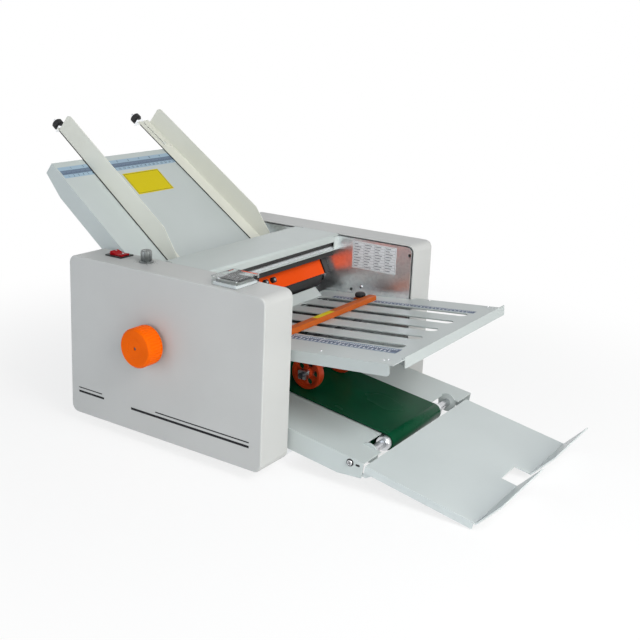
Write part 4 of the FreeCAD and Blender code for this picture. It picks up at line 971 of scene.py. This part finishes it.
@dataclass
class FoldChart(Panel):
    """A panel with a plain grid of rules and a small grey block in each of its cells."""

    margin: float = 1.6
    line: float = 0.3
    columns: int = 4
    rows: int = 9
    block_left: float = 1.4
    block_sides: Span = (0.36, 0.62)
    block_short: float = 0.45
    block_step: float = 0.1
    block_lengths: int = 4

    def marks(self, piece: Piece) -> None:
        """Print the rules, then the blocks, which differ in length.

        Args:
            piece: The panel's mesh.
        """
        edge, half = self.margin, self.line / 2
        cell_x = (self.length - 2 * edge) / self.columns
        cell_y = (self.width - 2 * edge) / self.rows
        xs = [edge + i * cell_x for i in range(self.columns + 1)]
        ys = [edge + j * cell_y for j in range(self.rows + 1)]
        for x in xs:
            piece.slab(x - half, edge, x + half, self.width - edge, *ON_FILM, Coat.INK_GREY)
        for y in ys:
            piece.slab(edge, y - half, self.length - edge, y + half, *ON_FILM, Coat.INK_GREY)
        low, high = (share * cell_y for share in self.block_sides)
        for i, x in enumerate(xs[:-1]):
            for j, y in enumerate(ys[:-1]):
                pick = (i * 3 + j * 5) % self.block_lengths
                reach = cell_x * (self.block_short + self.block_step * pick)
                piece.slab(x + self.block_left, y + low, x + reach, y + high, *ON_FILM,
                           Coat.INK_GREY)


# ------------------------------------------------------------------ fasteners


class Drive(Enum):
    """What a fastener's head is turned by."""

    CROSS = "cross"
    SLOT = "slot"
    RIVET = "rivet"


@dataclass
class Screw:
    """A visible steel head seated on a surface, with the shade in its recess painted as a dark
    inlay.
    """

    name: str
    place: Matrix
    radius: float
    drive: Drive = Drive.CROSS

    def build(self, body: str) -> None:
        """Turn the head and lay in its recess.

        Args:
            body: The body that it moves with.
        """
        piece = Piece(self.name, self.place, "bright_steel")
        r, top = self.radius, self.radius * 0.55
        piece.turned([(0, 0), (r, 0), (r, top * 0.35), (r * 0.86, top * 0.78),
                      (r * 0.55, top), (0, top)], Coat.STEEL, 32)
        reach, half = r * 0.62, r * 0.14
        # The drive recess is a flat black inlay: painted shade.
        if self.drive is not Drive.RIVET:
            piece.slab(-reach, -half, reach, half, top, top + 0.06, Coat.INK_BLACK)
        if self.drive is Drive.CROSS:
            piece.slab(-half, -reach, half, reach, top, top + 0.07, Coat.INK_BLACK)
        piece.finish(body)


# ------------------------------------------------------------------ sub-assemblies


@dataclass
class Covers:
    """The prints and fittings of the near cover, and the handwheel's cap."""

    top: float = 240.0
    # Start, end, height and thickness of each stripe on the cover's face.
    stripes: tuple[tuple[float, float, float, float], ...] = (
        (15.5, 62.6, 40.6, 1.5), (15.7, 66.6, 34.6, 3.2),
        (120.0, 330.0, 33.4, 3.5), (166.0, 330.0, 39.6, 1.7))
    switch: Point = (58.5, 42.5)
    rocker_tilt: float = 7.0
    mark_tilt: float = 9.8
    knob: Point = (113.0, 40.0)
    knob_top: float = 257.4
    scale_start: float = 225.0
    scale_step: float = 27.0
    scale_marks: int = 11
    scale_radius: float = 12.2
    figure_radius: float = 17.4
    counter: Point = (276.7, 32.5)
    counter_top: float = 247.0
    counter_wheels: tuple[float, ...] = (-10.5, -3.5, 3.5, 10.5)
    counter_screws: tuple[float, ...] = (-14.382, 14.382)
    handwheel: Place = (157.0, -29.0, 139.0)

    def face_stripes(self) -> None:
        """Two groups of dark stripes along the foot of the cover's face."""
        piece = Piece("cover_stripes", Plane(0, 0, 0).upright(), "black_plastic")
        for start, end, height, thick in self.stripes:
            piece.slab(start, height - thick / 2, end, height + thick / 2, *FILM,
                       Coat.INK_BLACK)
        piece.finish("frame")

    def switch_marks(self) -> None:
        """The bar and the ring on the rocker's two ends."""
        plane = Plane(*self.switch, self.top, self.rocker_tilt)
        piece = Piece("rocker_marks", plane.matrix(), "clear_plastic")
        piece.slab(-8.2, -1.6, -7.6, 1.6, 4.5, 4.75, Coat.INK_WHITE, turn(self.mark_tilt, "Y"))
        piece.turned([(1.2, 4.3), (1.7, 4.3), (1.7, 4.75), (1.2, 4.75)], Coat.INK_WHITE, 24,
                     turn(-self.mark_tilt, "Y") @ Matrix.Translation((7.6, 0, 0)))
        piece.finish("rocker")

    def speed_scale(self) -> None:
        """Ticks and figures round the speed knob."""
        plane = Plane(*self.knob, self.top)
        piece = Piece("speed_scale", plane.matrix(), "black_plastic")
        for i in range(self.scale_marks):
            heading = turn(self.scale_start - self.scale_step * i, "Z")
            piece.slab(self.scale_radius, -0.3, 14.2 if i % 5 else 15.0, 0.3, *BARE_INK,
                       Coat.INK_BLACK, heading)
            if i % 2 == 0:
                at = heading @ Vector((self.figure_radius, 0, 0))
                piece.letters(str(i), 3.4, BARE_INK[1], Coat.INK_BLACK, (at.x, at.y))
        piece.finish("frame")

    def knob_cap(self) -> None:
        """The speed knob's turned top disc, its pointer line and its skirt."""
        plane = Plane(*self.knob, self.knob_top)
        piece = Piece("speed_knob_cap", plane.matrix(), "aluminium")
        piece.turned([(0, 0), (6.2, 0), (6.0, 0.25), (5.4, 0.25), (5.2, 0.12), (0, 0.12)],
                     Coat.GREY_PLASTIC, 48)
        piece.slab(-0.45, -6.4, 0.45, -1.0, 0.12, 0.3, Coat.INK_WHITE)
        foot = self.top - self.knob_top
        piece.turned([(8.15, foot + 0.5), (10.6, foot + 0.5), (10.6, foot + 1.6),
                      (9.4, foot + 2.4), (8.15, foot + 2.6)], Coat.KNOB_METAL, 48)
        piece.finish("speed_control")

    def counter_windows(self) -> None:
        """The counting wheels' windows under the clear cover, its foot and its rim."""
        plane = Plane(*self.counter, self.counter_top)
        piece = Piece("counter_windows", plane.matrix(), "black_plastic")
        piece.slab(-15.5, -13.0, 15.5, 17.0, 0.02, 0.5, Coat.INK_BLACK)
        for x in self.counter_wheels:
            piece.slab(x - 2.6, -4.6, x + 2.6, 4.6, 0.5, 0.7, Coat.INK_BLACK)
            piece.letters("0", 6.0, 0.78, Coat.INK_WHITE, (x, 0))
        foot = self.top - self.counter_top
        piece.border(-19.5, -22.7, 19.5, 22.7, (2.2, 3.4), foot + 0.1, foot + 3.6,
                     Coat.INK_WHITE)
        piece.border(-21.2, -24.4, 21.2, 24.4, (0.5, 0.5), foot + 12.02, foot + 12.12,
                     Coat.INK_GREY)
        for x in self.counter_screws:
            piece.turned([(0, 0.02), (1.5, 0.02), (1.3, 0.9), (0, 1.0)], Coat.STEEL, 20,
                         Matrix.Translation((x, -15.8, 0)))
        piece.finish("frame")

    def handwheel_cap(self) -> None:
        """The plain disc that fills the handwheel's recess, round a small dark screw."""
        piece = Piece("handwheel_cap", Plane(*self.handwheel).upright(), "black_plastic")
        piece.turned([(2.2, 0.35), (11.8, 1.2), (13.7, 2.7), (13.4, 2.95), (2.7, 2.95),
                      (2.2, 2.5)], Coat.HANDWHEEL, 64)
        piece.turned([(0, 0.35), (2.1, 0.35), (2.1, 1.7), (1.5, 2.1), (0, 2.1)],
                     Coat.DARK_STEEL, 32)
        # The screw's slot is a flat black inlay: painted shade.
        piece.slab(-1.4, -0.25, 1.4, 0.25, 2.1, 2.16, Coat.INK_BLACK)
        piece.finish("rotor_2")

    def build(self) -> None:
        """Build everything on the near cover."""
        self.face_stripes()
        self.switch_marks()
        self.speed_scale()
        self.knob_cap()
        self.counter_windows()
        self.handwheel_cap()


@dataclass
class FeedTable:
    """The prints of the sloping feed table."""

    ruler_up: Span = (151.0, 174.0)
    ruler_across: Span = (69.0, 387.0)
    panel_up: float = 143.0
    panel_near: float = 184.0
    panel_length: float = 47.0
    panel_width: float = 84.0

    def build(self) -> None:
        """Print the ruler and the bare yellow panel."""
        low, high = self.ruler_up
        near, far = self.ruler_across
        Ruler("table_ruler", TABLE.plane(-(low + high) / 2, near, yaw=90.0).matrix(),
              far - near, high - low).build("frame")
        Panel("table_panel", TABLE.plane(-self.panel_up, self.panel_near).matrix(),
              self.panel_length, self.panel_width, Coat.INK_YELLOW).build("frame")


@dataclass
class Throat:
    """Dark strips of painted shade under the hood's lip and on the cross plate's web, the bright
    rail, and the guard screws' ends.
    """

    across: Span = (64.5, 393.5)
    flange_top: float = 216.65
    screw_up: float = 15.5
    screw_end: float = 7.4
    screw_radius: float = 2.3
    screws: tuple[float, ...] = (218.0, 238.0)

    def strip(self, name: str, outline: Sequence[Point], coat: Coat, slot: str) -> None:
        """One strip from side plate to side plate.

        Args:
            name: Its name.
            outline: Its section in X and Z, in working millimetres.
            coat: Its finish.
            slot: The record's material slot.
        """
        near, far = self.across
        piece = Piece(name, Plane(0, 0, 0).upright(), slot)
        piece.prism(outline, -far, -near, coat)
        piece.finish("frame", 0.2)

    def build(self) -> None:
        """Lay the strips along the cross plate and cap the screws."""
        top = self.flange_top
        # A black strip standing in for the shadow gap under the hood's lip: painted shade.
        self.strip("throat_seal", [(203.4, top), (205.4, top), (205.4, 226.6), (204.4, 227.3),
                                   (203.4, 227.3)], Coat.FOOT, "roller_rubber")
        self.strip("throat_rail", [(205.6, top), (208.4, top), (208.4, top + 2.8),
                                   (207.0, top + 4.0), (205.6, top + 4.0)],
                   Coat.ZINC, "bright_steel")
        # A black strip on the web under the flange, standing in for the shade there: painted
        # shade.
        self.strip("throat_liner", [(202.6, 202.8), (203.3, 202.8), (203.3, 214.9),
                                    (202.6, 214.9)], Coat.FOOT, "roller_rubber")
        for number, across in enumerate(self.screws):
            place = GUARD.plane(-self.screw_up, across, self.screw_end).matrix()
            Screw("guard_screw_%d" % number, place, self.screw_radius,
                  Drive.SLOT).build("frame")


@dataclass
class ClampStuds:
    """Bright threaded ends of the two guide clamp knobs, and a dark line of painted shade along
    each guide's foot.
    """

    rod_along: float = 60.0
    tab: float = -322.0
    across: float = 15.5
    drop: float = 4.5
    knob_end: float = 12.4
    stud_end: float = 18.4
    collar_radius: float = 2.6
    stud_radius: float = 1.75
    tape_ends: Span = (-309.0, -13.0)
    tape_heights: Span = (0.5, 1.9)
    tape_half: float = 0.28
    # Name, place across, yaw, side that faces the knob and place of the painted shade line, of
    # each guide.
    guides: tuple[tuple[str, float, float, float, float], ...] = (
        ("near", 130.5, 0.0, 1.0, -0.32), ("far", 369.3, 5.0, -1.0, -28.32))

    def build(self) -> None:
        """Sleeve each stud with steel and paint a dark line of shade along each guide's foot."""
        start, stop = self.tape_ends
        base, end = self.knob_end, self.stud_end
        for name, across, yaw, side, shade_across in self.guides:
            guide = TABLE.plane(self.rod_along, across, yaw=yaw).matrix()
            # A dark strip along the guide's foot, standing in for the shadow in the gap between
            # guide and table: painted shade.
            shade_line = Piece(name + "_guide_tape", guide, "black_plastic")
            shade_line.slab(start, shade_across - self.tape_half, stop, shade_across + self.tape_half,
                      *self.tape_heights, Coat.FOOT)
            shade_line.finish(name + "_guide")
            local = Matrix.Translation((self.tab, self.across * side, -self.drop))
            piece = Piece(name + "_clamp_stud", guide @ local @ turn(-90, "Y"), "bright_steel")
            piece.turned([(0, base), (self.collar_radius, base),
                          (self.collar_radius, base + 1.2), (self.stud_radius, base + 1.4),
                          (self.stud_radius, end - 0.3), (1.4, end + 0.02),
                          (0, end + 0.02)], Coat.STEEL, 24)
            piece.finish(name + "_clamp")


@dataclass
class FoldPlate:
    """The prints and rivets of the front fold plate, its lower sheet and its stop bar."""

    rulers: tuple[tuple[str, float, float], ...] = (
        ("near_fold_ruler", 112.5, 133.0), ("far_fold_ruler", 349.5, 362.5))
    ruler_start: float = -120.0
    ruler_length: float = 247.0
    rivets: tuple[Point, ...] = ((35.2, 79.0), (128.5, 80.5), (133.5, 83.5), (-60.0, 79.0),
                                 (32.3, 396.5), (130.0, 396.5))
    rivet_radius: float = 1.7
    slot_lines: tuple[float, ...] = (146.8, 194.4, 242.0, 289.6, 337.2)
    slot_half: float = 9.0
    window_extra: float = 12.5
    window_ends: Span = (-139.0, 123.0)
    under_ends: Span = (-146.0, 138.0)
    under_sides: Span = (70.0, 388.0)
    under_top: float = -4.5
    under_thick: float = 1.2
    pads: tuple[float, ...] = (-126.0, 0.0, 132.0)
    pad_inset: float = 8.0
    pad_radius: float = 3.0
    pad_top: float = -1.25
    bar_x: float = 300.0
    patch_near: float = 196.0
    patch_above: float = 8.4
    patch_length: float = 46.0
    patch_half: float = 5.0

    def rulers_and_rivets(self) -> None:
        """Print both rulers and seat the rivets."""
        for name, low, high in self.rulers:
            place = FOLD.plane(self.ruler_start, (low + high) / 2).matrix()
            Ruler(name, place, self.ruler_length, high - low, fine=6.35,
                  ground=Coat.INK_SLATE, band=Coat.INK_BLUE, figures=Coat.INK_WHITE,
                  tick=Coat.INK_WHITE, tick_width=1.9,
                  band_edges=(-0.32, 0.30)).build("frame")
        for number, (along, across) in enumerate(self.rivets):
            Screw("fold_plate_rivet_%d" % number, FOLD.plane(along, across).matrix(),
                  self.rivet_radius, Drive.RIVET).build("frame")

    def under_sheet(self) -> None:
        """The lower sheet, opened wide behind each slot, on the pads that carry it."""
        piece = Piece("under_sheet", FOLD.plane(0.0, 0.0).matrix(), "sheet_paint")
        (start, end), (near, far), top = self.under_ends, self.under_sides, self.under_top
        edges = [edge for line in self.slot_lines
                 for edge in (line - self.slot_half, line + self.slot_half + self.window_extra)]
        piece.windowed((start, *self.window_ends, end), (near, *edges, far),
                       top - self.under_thick, top, Coat.FOLD_SHEET)
        pad = [(0, top), (self.pad_radius, top), (self.pad_radius, self.pad_top),
               (0, self.pad_top)]
        for x in self.pads:
            for y in (near + self.pad_inset, far - self.pad_inset):
                piece.turned(pad, Coat.FOLD_SHEET, 24, Matrix.Translation((x, y, 0)))
        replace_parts(piece.finish("frame"), "lower_fold_plate")

    def bar_patch(self) -> None:
        """A plain yellow patch on the stop bar."""
        along = (self.bar_x - FOLD.x) / math.cos(math.radians(FOLD.tilt))
        plane = FOLD.plane(along, self.patch_near, self.patch_above)
        piece = Piece("stop_bar_patch", plane.matrix(), "orange_paint")
        piece.slab(-self.patch_half, 0, self.patch_half, self.patch_length, *FILM,
                   Coat.INK_YELLOW)
        piece.finish("stop_bar")

    def build(self) -> None:
        """Build everything on the fold plate."""
        self.rulers_and_rivets()
        self.under_sheet()
        self.bar_patch()


@dataclass
class SidePlates:
    """The chart and the screw on the inner face of the far side plate."""

    inner: float = 394.0
    chart_left: float = 240.0
    chart_low: float = 189.0
    chart_length: float = 80.5
    chart_height: float = 44.0
    screw_x: float = 259.5
    screw_z: float = 158.5
    screw_radius: float = 3.0

    def build(self) -> None:
        """Hang the chart and seat the screw."""
        chart = Plane(self.chart_left, self.inner, self.chart_low).upright()
        FoldChart("fold_chart", chart, self.chart_length, self.chart_height,
                  Coat.INK_WHITE).build("frame")
        screw = Plane(self.screw_x, self.inner, self.screw_z).upright()
        Screw("plate_screw", screw, self.screw_radius).build("frame")


@dataclass
class Delivery:
    """Small fittings of the deck and of the press wheels' axle."""

    deck_near: float = 66.0
    bolt: Point = (446.2, 22.1)
    bolt_ring: float = 5.2
    bolt_turns: Span = (25.0, 115.0)
    slot: Point = (457.8, 21.0)
    slot_reach: float = 1.7
    slot_radius: float = 1.5
    wheels: Point = (299.5, 79.6)
    block_half: float = 6.5
    block_corner: float = 1.6
    jacket: float = 0.15
    blocks: tuple[Span, ...] = ((167.0, 176.0), (282.0, 291.0))

    def hinge_bolt(self) -> None:
        """The bolt in its dark ring on the deck's near flange."""
        x, z = self.bolt
        piece = Piece("deck_bolt", Plane(x, self.deck_near, z).upright(), "bright_steel")
        ring = self.bolt_ring
        piece.turned([(ring - 1.3, 0), (ring, 0), (ring, 0.6), (ring - 0.5, 1.0),
                      (ring - 1.3, 1.0)], Coat.BLACK)
        piece.turned([(0, 0), (ring - 1.4, 0), (ring - 1.4, 1.6), (ring - 1.9, 2.2), (0, 2.2)],
                     Coat.STEEL)
        # The bolt's cross recess is two flat black bars: painted shade.
        for degrees in self.bolt_turns:
            piece.slab(-2.6, -0.45, 2.6, 0.45, 2.2, 2.27, Coat.INK_BLACK, turn(degrees, "Z"))
        piece.finish("frame")

    def hinge_slot(self) -> None:
        """The slot beside the bolt, drawn as a flat black mark of painted shade."""
        x, z = self.slot
        piece = Piece("deck_slot", Plane(x, self.deck_near, z).upright(), "black_plastic")
        reach, radius = self.slot_reach, self.slot_radius
        piece.prism(arc(reach, 0, radius, -90, 90, 8) + arc(-reach, 0, radius, 90, 270, 8),
                    *BARE_INK, Coat.INK_BLACK)
        piece.finish("frame")

    def axle_blocks(self) -> None:
        """Bright steel jackets on the blocks at the ends of the press wheels' axle."""
        x, z = self.wheels
        piece = Piece("axle_blocks", Plane(x, 0, z).upright(), "bright_steel")
        reach = self.block_half + self.jacket
        inner = reach - self.block_corner
        middles = ((inner, inner), (-inner, inner), (-inner, -inner), (inner, -inner))
        shape = [point for i, middle in enumerate(middles)
                 for point in arc(*middle, self.block_corner, 90 * i, 90 * i + 90, 4)]
        for low, high in self.blocks:
            piece.prism(shape, -high - self.jacket, -low + self.jacket, Coat.STEEL)
        front = -self.blocks[0][0] + self.jacket
        piece.slab(-1.1, -reach + 0.1, 1.1, -4.1, front, front + 0.05, Coat.INK_BLACK)
        piece.finish("wheel_swing", 0.15)

    def build(self) -> None:
        """Seat the bolt, mark the slot and dress the axle's blocks."""
        self.hinge_bolt()
        self.hinge_slot()
        self.axle_blocks()


# ------------------------------------------------------------------ studio


@dataclass(frozen=True)
class Lamp:
    """A soft square lamp.

    Attributes:
        name: Its name.
        spot: Where it stands, in metres.
        aim: What it looks at, in metres.
        size: Its side, in metres.
        power: Its power, in watts.
        colour: Its colour.
    """

    name: str
    spot: Place
    aim: Place
    size: float
    power: float
    colour: Colour

    def build(self) -> None:
        """Hang the lamp and turn it to its aim."""
        data = bpy.data.lights.new(self.name, "AREA")
        data.size = self.size
        data.energy = self.power
        data.color = self.colour
        item = add_object(self.name, data)
        item.location = self.spot
        heading = Vector(self.aim) - Vector(self.spot)
        item.rotation_euler = heading.to_track_quat("-Z", "Y").to_euler()


@dataclass
class Studio:
    """Floor, soft light and camera."""

    sky: tuple[float, ...] = (0.94, 0.97, 1.0, 1.0)
    horizon: float = 0.55
    zenith: float = 0.20
    floor_size: float = 14.0
    floor_grey: Colour = (0.92, 0.92, 0.92)
    floor_tones: Span = (1.0, 0.94 / 0.92)
    floor_noise: Noise = Noise(0.6, 1.0)
    floor_rough: float = 0.9
    floor_shine: float = 0.1
    floor_white: float = 0.78
    shadow_near: float = 0.35
    shadow_far: float = 1.00
    lamps: tuple[Lamp, ...] = (
        Lamp("key", (2.4, -1.0, 1.05), (0.1, 0.0, 0.2), 1.8, 35.0, (1.0, 0.975, 0.91)),
        Lamp("fill", (-0.8, -2.4, 0.7), (0.0, 0.0, 0.15), 1.6, 14.5, (0.82, 0.90, 1.0)),
        Lamp("front", (1.2, -0.45, 1.15), (0.46, 0.03, 0.05), 0.7, 13.0, (0.97, 0.99, 1.0)),
        Lamp("back", (-1.8, 1.7, 1.5), (0.0, 0.0, 0.15), 1.8, 3.5, (1.0, 1.0, 1.0)))
    eye: Place = (1052.6, -984.8, 584.4)
    azimuth: float = 34.69
    elevation: float = 14.80
    roll: float = 1.94
    focal_pixels: float = 1006.1
    centre_pixels: Point = (280.0, 280.0)
    image: float = 640.0
    sensor: float = 36.0
    clips: Span = (0.05, 60.0)

    def white_for_sight(self, nodes: Nodes, lit: Socket, seen: Socket) -> Socket:
        """Show one shader to camera, mirror and glass rays, and the other to the rest.

        Args:
            nodes: The node tree.
            lit: Shader that lights the object.
            seen: Shader that is seen.

        Returns:
            The mixed shader's socket.
        """
        path = nodes.add("ShaderNodeLightPath").outputs
        most = path["Is Camera Ray"]
        for name in ("Is Glossy Ray", "Is Transmission Ray"):
            larger = nodes.add("ShaderNodeMath", most, path[name])
            larger.operation = "MAXIMUM"
            most = larger.outputs[0]
        return nodes.add("ShaderNodeMixShader", most, lit, seen).outputs[0]

    def world(self) -> None:
        """White to look at; as a light, brighter round the horizon than overhead."""
        world = bpy.data.worlds.new("studio")
        bpy.context.scene.world = world
        world.use_nodes = True
        nodes = Nodes(world.node_tree)
        where = nodes.add("ShaderNodeTexCoord").outputs["Generated"]
        height = nodes.add("ShaderNodeSeparateXYZ", where).outputs["Z"]
        level = nodes.add("ShaderNodeMapRange", Value=height, To_Min=self.horizon,
                          To_Max=self.zenith)
        light = nodes.add("ShaderNodeBackground", Color=self.sky,
                          Strength=level.outputs["Result"])
        seen = nodes.add("ShaderNodeBackground", Color=(1.0, 1.0, 1.0, 1.0), Strength=1.0)
        mixed = self.white_for_sight(nodes, light.outputs[0], seen.outputs[0])
        nodes.add("ShaderNodeOutputWorld", mixed)

    def floor(self) -> None:
        """A wide pale floor: a soft shadow near the machine, plain white farther off."""
        mesh = bmesh.new()
        bmesh.ops.create_grid(mesh, x_segments=1, y_segments=1, size=self.floor_size)
        data = bpy.data.meshes.new("floor")
        mesh.to_mesh(data)
        mesh.free()
        item = add_object("floor", data)
        shader = Shader("floor")
        shader.tint(shader.noise(self.floor_noise), self.floor_grey, *self.floor_tones)
        shader.set(Roughness=self.floor_rough, Specular_IOR_Level=self.floor_shine)
        distance = shader.add("ShaderNodeVectorMath", shader.where)
        distance.operation = "LENGTH"
        fade = shader.add("ShaderNodeMapRange", Value=distance.outputs["Value"],
                          From_Min=self.shadow_near, From_Max=self.shadow_far,
                          To_Min=self.floor_white, To_Max=1.0)
        fade.interpolation_type = "SMOOTHSTEP"
        plain = shader.surface.outputs[0]
        white = shader.add("ShaderNodeEmission").outputs[0]
        blend = shader.add("ShaderNodeMixShader", fade.outputs["Result"], plain, white)
        mixed = self.white_for_sight(shader, plain, blend.outputs[0])
        shader.feed(shader.output, mixed)
        data.materials.append(shader.material)

    def camera(self) -> None:
        """The camera, from its fitted angles, focal length and centre."""
        a, e = math.radians(self.azimuth), math.radians(self.elevation)
        back = Vector((math.sin(a) * math.cos(e), -math.cos(a) * math.cos(e), math.sin(e)))
        right = (-back).cross(Vector((0, 0, 1))).normalized()
        level = Matrix((right, right.cross(-back), back)).transposed().to_4x4()
        data = bpy.data.cameras.new("camera")
        data.sensor_width = self.sensor
        data.lens = self.focal_pixels / self.image * self.sensor
        data.shift_x = (self.image / 2 - self.centre_pixels[0]) / self.image
        data.shift_y = (self.centre_pixels[1] - self.image / 2) / self.image
        data.clip_start, data.clip_end = self.clips
        item = add_object("camera", data)
        spot = Matrix.Translation((Vector(self.eye) - ORIGIN) * MM)
        item.matrix_world = spot @ level @ turn(self.roll, "Z")
        bpy.context.scene.camera = item

    def build(self) -> None:
        """Set up the whole studio."""
        bpy.context.scene.view_settings.view_transform = "Standard"
        self.world()
        self.floor()
        for lamp in self.lamps:
            lamp.build()
        self.camera()


# ------------------------------------------------------------------ main


def main() -> None:
    """Dress the frame, add the prints and fittings, and set up the studio."""
    logging.basicConfig(level=logging.INFO, format="%(name)s: %(message)s")
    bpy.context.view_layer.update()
    parts: Iterable[Callable[[], None]] = (
        Dress().apply, Covers().build, FeedTable().build, Throat().build, ClampStuds().build,
        FoldPlate().build, SidePlates().build, Delivery().build, Studio().build)
    for build in parts:
        build()


if __name__ == "__main__":
    main()
